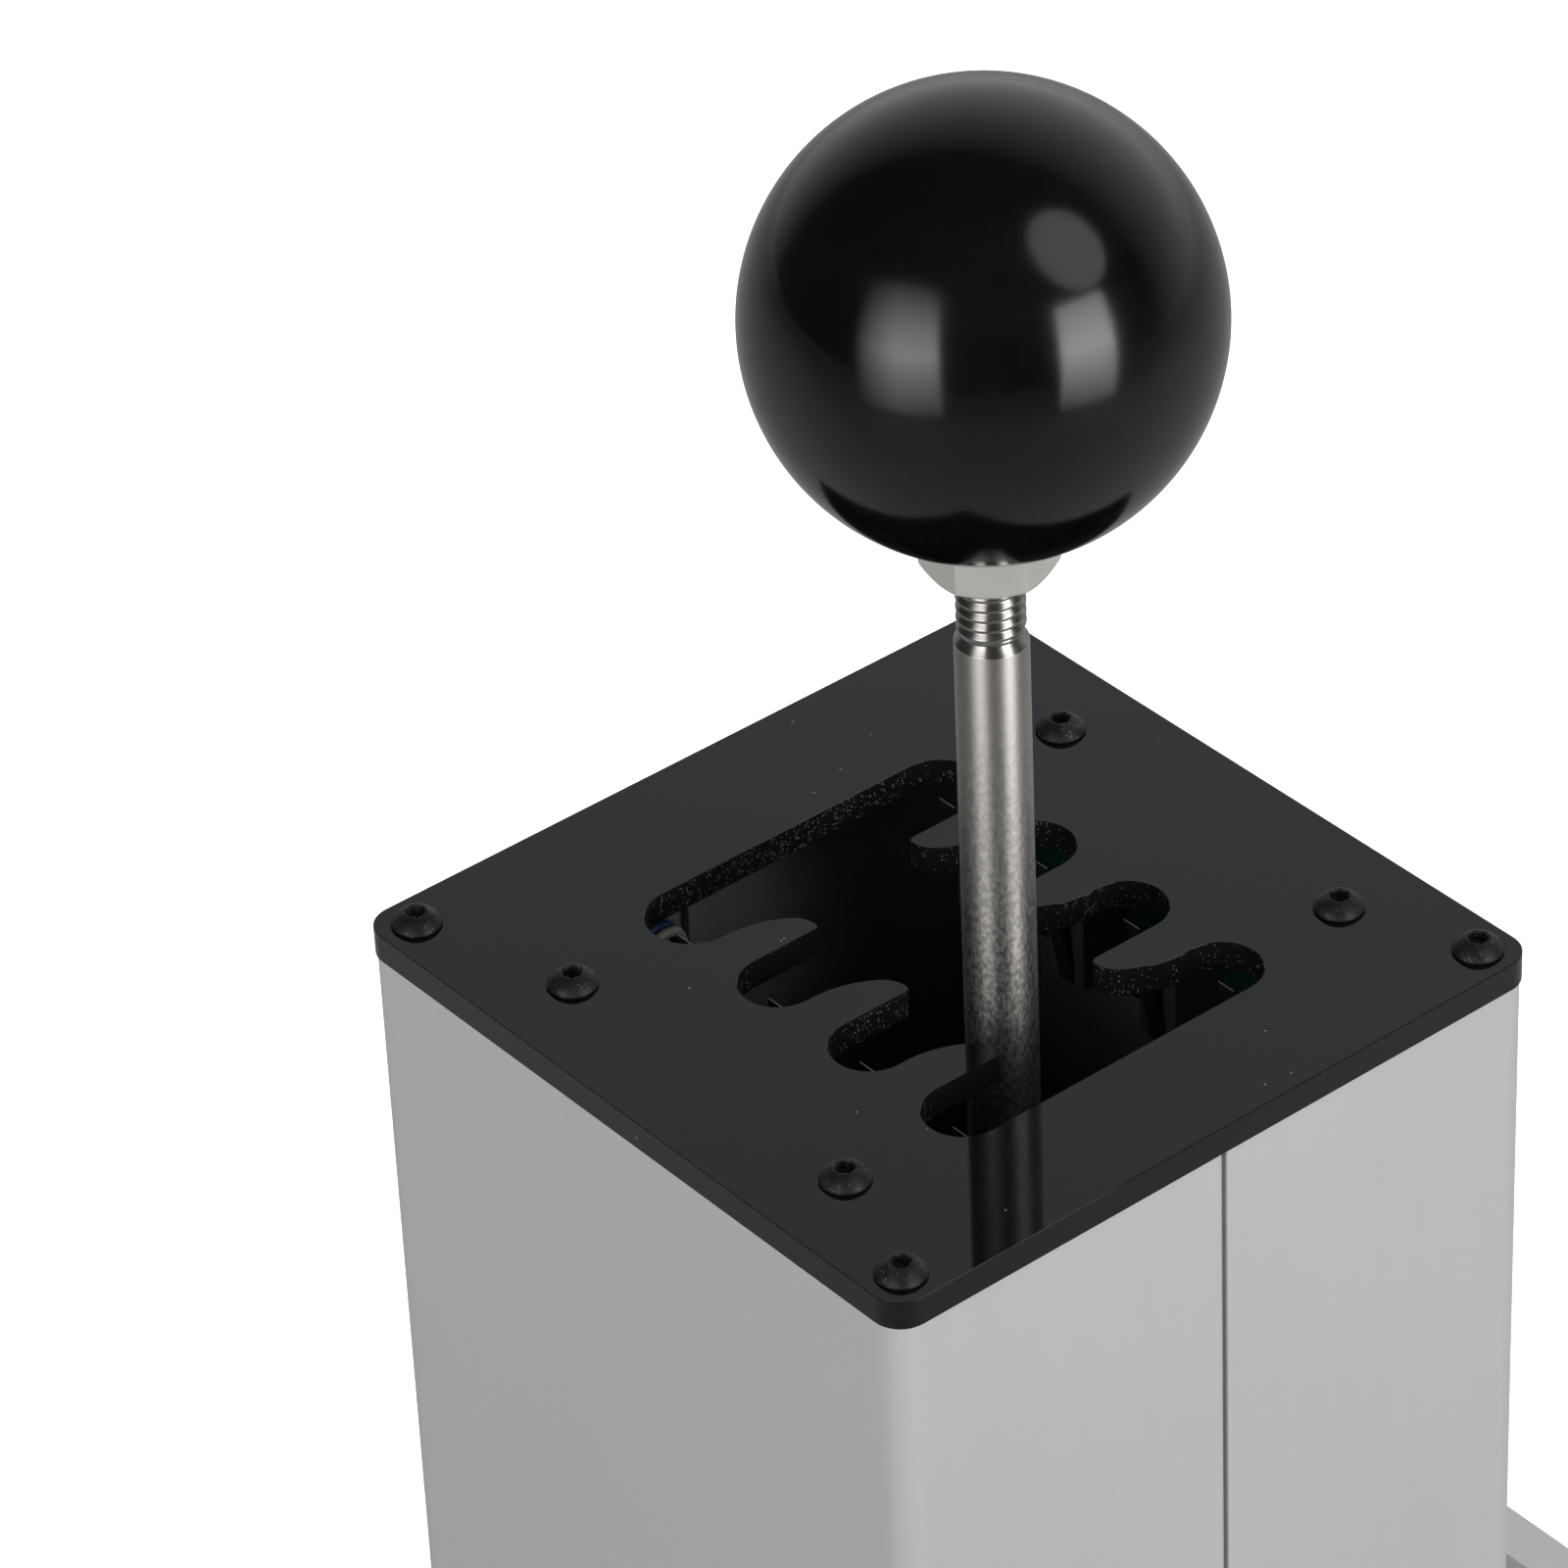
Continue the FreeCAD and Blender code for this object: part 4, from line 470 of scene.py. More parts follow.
def make_finishes(tones):
    """Every finish by the name of its material slot. The stretches draw a noise out into tool marks."""
    edge = 0.2 * MM
    broad_edge = 0.3 * MM
    lathe = (60, 60, 3000)
    grinder = (300, 300, 2400)
    mill = (200, 1600, 200)
    saw = (1500, 90, 90)
    rolling = (3000, 120, 120)
    return {
        "black_acrylic": polished_sheet(tones.plate),
        "anodised_aluminium": anodised(tones.box),
        "machined_aluminium": metal_finish(
            "machined_aluminium", (0.98, 0.962, 0.94), 0.5, 1.0, 12, saw, 0.02, broad_edge, metallic=0.1),
        "black_oxide": black_oxide(tones.screws),
        "zinc_steel": metal_finish("bright_zinc", (0.55, 0.56, 0.58), 0.26, 1800, 10, edge=edge),
        "stainless_steel": ground_rod(tones.rod),
        "turned_thread": bright_thread(tones.rod),
        "satin_stainless": metal_finish(
            "satin_stainless", tones.nut, 0.42, 2600, 6, (1, 1, 0.5), edge=broad_edge, metallic=0.5),
        "black_phenolic": polished_resin(tones.knob),
        "insert_brass": metal_finish("turned_brass", (0.70, 0.50, 0.22), 0.25, 1.0, 10, lathe, edge=edge),
        "bush_bronze": metal_finish("sintered_bronze", (0.46, 0.31, 0.17), 0.42, 4200, 30, edge=edge),
        "board_green": circuit_board(tones.board),
        "switch_black": plastic_finish("switch_case", (0.055, 0.056, 0.057), 0.42, 2600, 20, edge=edge),
        "button_red": plastic_finish("switch_button", (0.42, 0.03, 0.02), 0.35, 2600, 10),
        "leaf_steel": metal_finish("spring_strip", (0.20, 0.20, 0.195), 0.38, 1.0, 4, rolling),
        "bracket_steel": plastic_finish("powder_coat", tones.bracket, 0.48, 1500, 80, edge=broad_edge),
        "yoke_steel": metal_finish("milled_steel", (0.42, 0.42, 0.43), 0.32, 1.0, 10, mill, edge=edge),
        "spring_steel": metal_finish("spring_wire", (0.40, 0.39, 0.38), 0.28, 3000, 8),
        "hardened_steel": metal_finish(
            "hardened_steel", (0.34, 0.34, 0.35), 0.22, 1.0, 8, grinder, edge=edge),
        "chip_black": plastic_finish("chip_case", (0.018, 0.018, 0.018), 0.5, 3600, 30, edge=0.1 * MM),
        "socket_shell": plastic_finish("socket_shell", (0.62, 0.61, 0.57), 0.4, 2200, 10, 0.05, edge),
        "header_white": plastic_finish("header_case", (0.40, 0.39, 0.36), 0.42, 2200, 10, 0.06, edge),
        "wire_blue": plastic_finish("blue_insulation", tones.blue_wire, 0.36, 900, 20),
        "wire_white": plastic_finish("white_insulation", tones.white_wire, 0.36, 900, 20, 0.05),
    }


FINISHES = {}


def finish_named(name):
    """A finish by its name, made with the others when the first one is asked for."""
    if not FINISHES:
        FINISHES.update(make_finishes(bpy.context.scene.shifter_colours))
    return FINISHES[name]


# Mesh code

def angles_round(steps):
    """Even angles round a full turn."""
    return [FULL_TURN * step / steps for step in range(steps)]


def spot(radius, angle, height):
    """The point at a distance from the Z axis, an angle round it and a height."""
    return Vector((radius * math.cos(angle), radius * math.sin(angle), height))


def hexagon_radius(half, angle):
    """Distance from the axis to a hexagon with flats at 30 degrees and a little off its corners."""
    kept = 0.985
    local = (angle % math.radians(60)) - math.radians(30)
    return min(half / math.cos(local), half / math.cos(math.radians(30)) * kept)


def turned(profile, steps):
    """Rings of points round the Z axis for a profile of (radius, height) pairs."""
    return [
        [spot(radius, angle, height) for angle in (angles_round(steps) if radius else [0])]
        for radius, height in profile]


def heading(path, index):
    """The direction in which a path runs at one of its points."""
    return (path[min(index + 1, len(path) - 1)] - path[max(index - 1, 0)]).normalized()


def skin(form, rings, closed=False):
    """Join rings of points with faces and give their corners. A ring of one point is a tip."""
    made = [[form.verts.new(point) for point in ring] for ring in rings]
    pairs = list(zip(made, made[1:]))
    if closed:
        pairs.append((made[-1], made[0]))
    for low, high in pairs:
        count = max(len(low), len(high))
        for step in range(count):
            following = (step + 1) % count
            if len(low) == 1:
                form.faces.new((low[0], high[following], high[step]))
            elif len(high) == 1:
                form.faces.new((low[step], low[following], high[0]))
            else:
                form.faces.new((low[step], low[following], high[following], high[step]))
    return made


def tube(form, path, radius, steps=10):
    """A closed round bar along a path of points."""
    rings = []
    for index, point in enumerate(path):
        along = heading(path, index)
        first = along.cross(Vector((0, 0, 1))).normalized()
        second = along.cross(first)
        rings.append([
            point + radius * (math.cos(angle) * first + math.sin(angle) * second)
            for angle in angles_round(steps)])
    skin(form, [[path[0]], *rings, [path[-1]]])


def put_over(form, name, turn=0.0):
    """Turn mesh code round the Z axis and move it over the middle of a solid."""
    middle = sum(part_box(name), Vector()) / 2
    bmesh.ops.rotate(form, verts=form.verts, matrix=Matrix.Rotation(turn, 3, "Z"))
    bmesh.ops.translate(form, verts=form.verts, vec=(middle.x, middle.y, 0))


def to_mesh(form, name, sharp=35):
    """Turn mesh code into a mesh that is smooth except at its sharp edges."""
    bmesh.ops.recalc_face_normals(form, faces=form.faces)
    mesh = bpy.data.meshes.new(name)
    form.to_mesh(mesh)
    form.free()
    mesh.shade_smooth()
    mesh.set_sharp_from_angle(angle=math.radians(sharp))
    return mesh


def add_piece(name, mesh, slot, finish=None):
    """Put a new piece into the scene with the finish of its slot, or with another one."""
    piece = bpy.data.objects.new(name, mesh)
    bpy.context.scene.collection.objects.link(piece)
    mesh.materials.append(finish_named(finish or slot))
    return piece


def dress(names, finish):
    """Give solids from the frame their finish."""
    for name in names:
        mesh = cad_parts[name].data
        mesh.materials.clear()
        mesh.materials.append(finish_named(finish))


def middles(name):
    """The middles along X of a node's solids, which are boxes of one width in a row."""
    sides = sorted({round(vertex.co.x / MICRON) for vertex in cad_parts[name].data.vertices})
    return [(left + right) / 2 * MICRON for left, right in zip(sides[::2], sides[1::2])]


def outlines(name, height):
    """The closed outlines of a solid's upward face at a height, with the material on their left."""
    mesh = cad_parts[name].data
    places = {}
    borders = set()
    for face in mesh.polygons:
        corners = [mesh.vertices[index].co for index in face.vertices]
        if face.normal.z < 0.9 or any(abs(corner.z - height) > MICRON for corner in corners):
            continue
        keys = [tuple(round(part / MICRON) for part in corner) for corner in corners]
        places.update(zip(keys, corners))
        for start, end in zip(keys, keys[1:] + keys[:1]):
            if (end, start) in borders:
                borders.remove((end, start))
            else:
                borders.add((start, end))
    following = dict(sorted(borders))
    loops = []
    while following:
        start, here = following.popitem()
        loop = [start]
        while here != start:
            loop.append(here)
            here = following.pop(here)
        loops.append([places[key].to_2d() for key in loop])
    return loops


def moved_in(loop, distance):
    """An outline moved into the material that lies on its left."""
    moved = []
    for before, here, after in zip(loop[-1:] + loop[:-1], loop, loop[1:] + loop[:1]):
        first = (here - before).orthogonal().normalized()
        second = (after - here).orthogonal().normalized()
        inward = (first + second).normalized()
        moved.append(here + inward * distance / max(inward.dot(first), 0.5))
    return moved


def slab(form, loops, low, high, edge):
    """A flat sheet with holes and bevelled edges."""
    bands = ((edge, low), (0, low + edge), (0, high - edge), (edge, high))
    walls = []
    for loop in loops:
        rings = [
            [point.to_3d() + Vector((0, 0, height)) for point in moved_in(loop, inset)]
            for inset, height in bands]
        walls.append(skin(form, rings))
    for end in (0, -1):
        rings = [wall[end] for wall in walls]
        corners = [corner for ring in rings for corner in ring]
        for triangle in tessellate_polygon([[corner.co for corner in ring] for ring in rings]):
            form.faces.new([corners[index] for index in triangle])


# Pieces

class SHIFTER_OT_make_knob(bpy.types.Operator):
    """Turn the ball knob with its flat, its rounded rim and its bore"""

    bl_idname = "shifter.make_knob"
    bl_label = "Ball Knob"

    def execute(self, context):
        sizes = context.scene.shifter_sizes
        low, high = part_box("ball_knob")
        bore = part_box("knob_insert")
        radius = (high.x - low.x) / 2
        bore_radius = (bore[1].x - bore[0].x) / 2
        centre = high.z - radius
        flat = math.asin((centre - low.z) / radius)
        flat_radius = radius * math.cos(flat)
        edge = sizes.knob_edge
        start = edge / radius - flat
        steps = sizes.round_steps
        profile = [
            (0, bore[1].z), (bore_radius, bore[1].z), (bore_radius, low.z + edge),
            (bore_radius + edge, low.z), (flat_radius - edge, low.z),
            (flat_radius - 0.35 * edge, low.z + 0.12 * edge)]
        for step in range(steps):
            angle = start + (math.pi / 2 - start) * step / steps
            profile.append((radius * math.cos(angle), centre + radius * math.sin(angle)))
        profile.append((0, high.z))
        form = bmesh.new()
        skin(form, turned(profile, 2 * steps))
        put_over(form, "ball_knob")
        piece = add_piece("knob_ball", to_mesh(form, "knob_ball"), "black_phenolic")
        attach(piece, "lever")
        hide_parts("ball_knob")
        dress(["knob_insert"], "insert_brass")
        return {"FINISHED"}


class SHIFTER_OT_make_rod(bpy.types.Operator):
    """Turn the shift rod with its chamfered shoulder, its neck and a real thread"""

    bl_idname = "shifter.make_rod"
    bl_label = "Shift Rod"

    def execute(self, context):
        sizes = context.scene.shifter_sizes
        low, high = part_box("shift_rod")
        radius = (high.x - low.x) / 2
        steps = sizes.round_steps
        chamfer = 0.4 * MM
        bare_thread = 9.0 * MM
        neck_length = 0.9 * MM
        run_in = 0.1 * MM
        corner = 0.08 * MM
        slope = 0.06 * MM
        fillet = 0.05 * MM
        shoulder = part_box("jam_nut")[0].z - bare_thread
        neck = shoulder + neck_length
        start = neck + run_in
        profile = [
            (0, low.z), (radius - chamfer, low.z), (radius, low.z + chamfer), (radius, shoulder - corner),
            (radius - slope, shoulder), (sizes.thread_root + fillet, neck), (sizes.thread_root, start)]
        form = bmesh.new()
        skin(form, turned(profile, steps))
        self.cut_thread(form, sizes, start, high.z, steps)
        bmesh.ops.remove_doubles(form, verts=form.verts, dist=MICRON)
        put_over(form, "shift_rod")
        mesh = to_mesh(form, "turned_rod", sharp=45)
        piece = add_piece("turned_rod", mesh, "stainless_steel")
        mesh.materials.append(finish_named("turned_thread"))
        for face in mesh.polygons:
            face.material_index = int(face.center.z > shoulder - corner)
        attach(piece, "lever")
        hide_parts("shift_rod")
        return {"FINISHED"}

    @staticmethod
    def cut_thread(form, sizes, low, high, steps):
        """Rows of points that follow the thread round and up the rod, with a flat end on top. The shares
        say how far each row of a pitch stands out from the root to the crest."""
        shares = (0.0, 0.0, 0.3, 0.65, 1.0, 1.0, 0.83, 0.66, 0.5, 0.33, 0.16, 0.0)
        per_turn = len(shares)
        pitch = sizes.thread_pitch
        depth = sizes.thread_crest - sizes.thread_root
        count = math.ceil((high - low) / pitch * per_turn) + 1
        rows = []
        for index in range(-per_turn, count + 1):
            row = []
            for step in range(steps):
                height = low + pitch * (index / per_turn + step / steps)
                height = min(max(height, low), high)
                fade = min((height - low) / pitch * 3, (high - height) / pitch * 3, 1.0)
                radius = sizes.thread_root + depth * shares[index % per_turn] * fade
                row.append(form.verts.new(spot(radius, math.pi + FULL_TURN * step / steps, height)))
            rows.append(row)
        for index, (below, above) in enumerate(zip(rows, rows[1:])):
            for step in range(steps - 1):
                form.faces.new((below[step], below[step + 1], above[step + 1], above[step]))
            turn_on = index + per_turn
            if turn_on + 1 < len(rows):
                form.faces.new((below[-1], rows[turn_on][0], rows[turn_on + 1][0], above[-1]))
        tip = form.verts.new((0, 0, high))
        for step in range(steps):
            form.faces.new((rows[-1][step], rows[-1][(step + 1) % steps], tip))


class SHIFTER_OT_make_nut(bpy.types.Operator):
    """Make the jam nut under the ball, with its chamfered corners and bore"""

    bl_idname = "shifter.make_nut"
    bl_label = "Jam Nut"

    def execute(self, context):
        sizes = context.scene.shifter_sizes
        low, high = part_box("jam_nut")
        steps = sizes.round_steps
        bore = sizes.thread_crest + 0.02 * MM
        bore_chamfer = 0.48 * MM
        edge = 0.12 * MM
        rings = turned([
            (bore, high.z - bore_chamfer), (bore, low.z + bore_chamfer), (bore + bore_chamfer, low.z),
            (sizes.nut_face, low.z)], steps)
        for start, sign in ((low.z, 1), (high.z, -1)):
            rows = [
                self.side_ring(sizes, start, sign, edge, 0), self.side_ring(sizes, start, sign, 0, edge)]
            rings.extend(rows[::sign])
        rings += turned([(sizes.nut_face, high.z), (bore + bore_chamfer, high.z)], steps)
        form = bmesh.new()
        skin(form, rings, closed=True)
        put_over(form, "jam_nut", sizes.nut_turn)
        mesh = to_mesh(form, "chamfered_nut", sharp=25)
        piece = add_piece("chamfered_nut", mesh, "stainless_steel", "satin_stainless")
        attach(piece, "lever")
        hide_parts("jam_nut")
        return {"FINISHED"}

    @staticmethod
    def side_ring(sizes, start, sign, inset, rise):
        """The edge between a chamfer and the flats: lower at the corners than on the flats."""
        ring = []
        for angle in angles_round(sizes.round_steps):
            radius = hexagon_radius(sizes.nut_flat, angle)
            drop = (radius - sizes.nut_face) * math.tan(math.radians(30)) + rise
            ring.append(spot(radius - inset, angle, start + sign * drop))
        return ring


class SHIFTER_OT_make_gate(bpy.types.Operator):
    """Cut the gate plate with bevelled edges along its rim, its columns and its holes"""

    bl_idname = "shifter.make_gate"
    bl_label = "Gate Plate"

    def execute(self, context):
        low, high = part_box("gate_plate")
        form = bmesh.new()
        slab(form, outlines("gate_plate", high.z), low.z, high.z, context.scene.shifter_sizes.plate_edge)
        piece = add_piece("cut_gate_plate", to_mesh(form, "cut_gate_plate", sharp=30), "black_acrylic")
        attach(piece, "housing")
        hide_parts("gate_plate")
        return {"FINISHED"}


class SHIFTER_OT_make_plate_screws(bpy.types.Operator):
    """Make the eight button screws that hold the gate plate"""

    bl_idname = "shifter.make_plate_screws"
    bl_label = "Gate Plate Screws"

    def execute(self, context):
        sizes = context.scene.shifter_sizes
        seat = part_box("gate_plate")[1].z
        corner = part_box("gate_corner_screws")
        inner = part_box("gate_bracket_screws")
        head = 2.85 * MM
        turn_each = 0.7
        reach = corner[1].x - head
        row = inner[1].y - head
        columns = (inner[0].x + head, inner[1].x - head)
        spots = {
            "gate_corner_screws": [(x, y) for x in (-reach, reach) for y in (-reach, reach)],
            "gate_bracket_screws": [(x, y) for x in columns for y in (-row, row)],
        }
        turn = 0.0
        for node, places in spots.items():
            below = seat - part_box(node)[0].z
            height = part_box(node)[1].z - seat
            form = bmesh.new()
            for x, y in places:
                turn += turn_each
                place = Matrix.Translation((x, y, seat)) @ Matrix.Rotation(turn, 4, "Z")
                rings = self.rings(sizes, below, height, head)
                skin(form, [[place @ point for point in ring] for ring in rings])
            piece = add_piece("button_" + node, to_mesh(form, "button_" + node), "black_oxide")
            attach(piece, "housing")
            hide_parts(node)
        return {"FINISHED"}

    @staticmethod
    def rings(sizes, below, height, head):
        """A domed head with a rim, a flat top and a hexagon socket, over a plain shank."""
        steps = 72
        dome_steps = 12
        shank = 1.5 * MM
        tip = 0.3 * MM
        under_edge = 0.12 * MM
        rim = 0.3 * MM
        flat = 1.3 * MM
        profile = [
            (0, -below), (shank - tip, -below), (shank, tip - below), (shank, 0), (head - under_edge, 0),
            (head, under_edge), (head, rim)]
        centre = (flat ** 2 + height ** 2 - head ** 2 - rim ** 2) / (2 * (height - rim))
        dome = math.hypot(flat, height - centre)
        first = math.atan2(rim - centre, head)
        last = math.atan2(height - centre, flat)
        for step in range(1, dome_steps + 1):
            angle = first + (last - first) * step / dome_steps
            profile.append((dome * math.cos(angle), centre + dome * math.sin(angle)))
        half = sizes.socket_half
        mouth = half + 0.10 * MM
        mouth_top = height - 0.02 * MM
        mouth_foot = height - 0.14 * MM
        floor = height - sizes.socket_depth
        drill_tip = floor - 0.35 * MM
        angles = angles_round(steps)
        rings = turned(profile, steps)
        for width, level in ((mouth, mouth_top), (half, mouth_foot), (half, floor)):
            rings.append([spot(hexagon_radius(width, angle), angle, level) for angle in angles])
        rings.append([Vector((0, 0, drill_tip))])
        return rings


class SHIFTER_OT_make_leaves(bpy.types.Operator):
    """Bend the eight switch leaves, whose tips show at the ends of the columns"""

    bl_idname = "shifter.make_leaves"
    bl_label = "Switch Leaves"

    def execute(self, context):
        thickness = context.scene.shifter_sizes.leaf_thickness
        for side, sign in (("front", -1), ("rear", 1)):
            node = side + "_switch_leaves"
            low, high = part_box(node)
            tip = min(abs(low.y), abs(high.y))
            face = max(abs(low.y), abs(high.y))
            columns = middles(node)
            half_width = high.x - columns[-1]
            path = self.path(face - thickness / 2, tip + thickness / 2, low.z, high.z)
            form = bmesh.new()
            for column in columns:
                skin(form, self.strip(path, sign, column, half_width, thickness))
            piece = add_piece(side + "_bent_leaves", to_mesh(form, node), "leaf_steel")
            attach(piece, "housing")
            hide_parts(node)
            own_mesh(piece)
        return {"FINISHED"}

    @staticmethod
    def path(face, tip, low, high):
        """The leaf's middle line as (distance, height): a foot, a straight blade and a curled tip."""
        foot = low + 0.9 * MM
        bend = low + 1.3 * MM
        lean = 0.03 * MM
        curl_height = 2.2 * MM
        curl_reach = 0.5 * MM
        curl_steps = 6
        points = [(face, low), (face, foot), (face - lean, bend)]
        for step in range(curl_steps + 1):
            left = 1 - step / curl_steps
            points.append((tip + curl_reach * left ** 1.6, high - curl_height * left))
        return [Vector(point) for point in points]

    @staticmethod
    def strip(path, sign, column, half_width, thickness):
        """Rings of six points: a flat section with pointed edges."""
        half = thickness / 2
        flat = half_width - half
        section = (
            (-half_width, 0), (-flat, half), (flat, half), (half_width, 0), (flat, -half), (-flat, -half))
        rings = []
        for index, point in enumerate(path):
            across = heading(path, index).orthogonal()
            ring = []
            for x, out in section:
                y = sign * (point.x + across.x * out)
                z = min(max(point.y + across.y * out, path[0].y), path[-1].y)
                ring.append(Vector((column + x, y, z)))
            rings.append(ring)
        ends = [[sum(ring, Vector()) / len(ring)] for ring in (rings[0], rings[-1])]
        return [ends[0], *rings, ends[1]]


class SHIFTER_OT_make_springs(bpy.types.Operator):
    """Wind the two centring springs and the plunger's spring"""

    bl_idname = "shifter.make_springs"
    bl_label = "Springs"

    def execute(self, context):
        sizes = context.scene.shifter_sizes
        self.wind(
            "centring_springs", "wound_centring_springs", sizes.centring_wire, 7, "housing", "yoke", False)
        self.wind("plunger_spring", "wound_plunger_spring", sizes.plunger_wire, 4, "lever", "plunger", True)
        return {"FINISHED"}

    @staticmethod
    def wind(node, name, wire, turns, near_body, far_body, from_top):
        """One closed-end coil for each of the node's solids, wound in place. The two bodies are not used.
        """
        per_turn = 28
        closed = 0.8
        low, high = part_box(node)
        radius = (high.y - low.y) / 2
        middle_y = (low.y + high.y) / 2
        count = turns * per_turn
        form = bmesh.new()
        for x in sorted({low.x + radius, high.x - radius}):
            path = []
            for index in range(count + 1):
                share = index / count
                rise = min(max((share * turns - closed) / (turns - 2 * closed), 0.0), 1.0)
                height = low.z + wire / 2 + (high.z - low.z - wire) * rise
                here = spot(radius - wire / 2, FULL_TURN * turns * share, height)
                path.append(here + Vector((x, middle_y, 0)))
            tube(form, path, wire / 2)
        piece = add_piece(name, to_mesh(form, name), "spring_steel")
        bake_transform(piece)
        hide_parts(node)


class SHIFTER_OT_make_wires(bpy.types.Operator):
    """Run the blue and white wires from the switch boards to the control board"""

    bl_idname = "shifter.make_wires"
    bl_label = "Wires"

    # The middle of each pair's route in millimetres, and along X and Y how its two wires lie apart.
    routes = {
        "front": (
            (-27.4, -22.9, 106.0, 1, 0), (-27.4, -20.9, 106.0, 1, 0), (-28.2, -17.9, 108.2, 1, 0),
            (-28.2, -13.4, 107.0, 1, 0), (-28.2, -13.4, 68.55, 1, 0), (-30.8, -14.0, 30.1, 1, 0),
            (-30.8, -14.0, 16.6, 1, 0)),
        "rear": (
            (30.45, 22.9, 106.0, 1, 0), (30.45, 15.4, 106.0, 1, 0), (34.55, 27.3, 58.9, 1, 1),
            (34.55, 31.8, 11.8, 1, 1), (-14.6, 31.8, 11.8, -1, 1), (-14.6, 4.7, 25.6, -1, 0),
            (-14.6, -8.8, 25.6, -1, 0), (-14.6, -8.8, 16.6, -1, 0)),
    }

    def execute(self, context):
        sizes = context.scene.shifter_sizes
        for tint, side in (("blue", -1), ("white", 1)):
            shift = side * sizes.wire_spacing / 2
            for end, route in self.routes.items():
                name = tint + "_" + end + "_wire"
                line = bpy.data.curves.new(name, "CURVE")
                line.dimensions = "3D"
                line.bevel_depth = sizes.wire_thickness / 2
                line.bevel_resolution = 3
                line.use_fill_caps = True
                spline = line.splines.new("NURBS")
                spline.points.add(len(route) - 1)
                for point, (x, y, z, apart_x, apart_y) in zip(spline.points, route):
                    point.co = (x * MM + shift * apart_x, y * MM + shift * apart_y, z * MM, 1.0)
                spline.order_u = 3
                spline.use_endpoint_u = True
                piece = add_piece(name, line, "wire_" + tint)
                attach(piece, "housing")
                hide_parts(tint + "_wires")
        return {"FINISHED"}


# Finishes on the solids

class SHIFTER_OT_dress_box(bpy.types.Operator):
    """Finish the two box shells, the base plate and the screws under it"""

    bl_idname = "shifter.dress_box"
    bl_label = "Box and Base"

    def execute(self, context):
        dress(["front_shell", "rear_shell"], "anodised_aluminium")
        dress(["base_plate"], "machined_aluminium")
        dress(["base_screws"], "black_oxide")
        return {"FINISHED"}


class SHIFTER_OT_dress_switches(bpy.types.Operator):
    """Finish the switch brackets, their boards, switches and fasteners"""

    bl_idname = "shifter.dress_switches"
    bl_label = "Switches"

    def execute(self, context):
        dress(["front_switch_bracket", "rear_switch_bracket"], "bracket_steel")
        dress(["front_switch_board", "rear_switch_board"], "board_green")
        dress(["front_switches", "rear_switches"], "switch_black")
        dress(["front_switch_buttons", "rear_switch_buttons"], "button_red")
        dress(["front_board_screws", "rear_board_screws", "gate_bracket_nuts"], "zinc_steel")
        return {"FINISHED"}


class SHIFTER_OT_dress_gimbal(bpy.types.Operator):
    """Finish the pivot frame, the yoke, the lever block and the detent"""

    bl_idname = "shifter.dress_gimbal"
    bl_label = "Gimbal"

    def execute(self, context):
        dress(["pivot_frame"], "bracket_steel")
        dress(["yoke", "lever_block"], "yoke_steel")
        dress(["pivot_frame_screws", "yoke_grub_screw", "rod_grub_screw", "detent_screws"], "black_oxide")
        dress(["side_pivot_pins", "fore_aft_pin", "detent_plunger", "detent_plate"], "hardened_steel")
        dress(["side_pivot_clips", "fore_aft_pin_clips", "plunger_housing"], "zinc_steel")
        dress(["side_pivot_bushes", "fore_aft_bushes"], "bush_bronze")
        return {"FINISHED"}


class SHIFTER_OT_dress_controller(bpy.types.Operator):
    """Finish the control board, its chip, its standoffs, the headers and the cable socket"""

    bl_idname = "shifter.dress_controller"
    bl_label = "Controller"

    def execute(self, context):
        dress(["control_board"], "board_green")
        dress(["board_standoffs", "control_board_screws"], "zinc_steel")
        dress(["controller_chip"], "chip_black")
        dress(["wire_headers"], "header_white")
        dress(["cable_socket"], "socket_shell")
        return {"FINISHED"}


# The stage

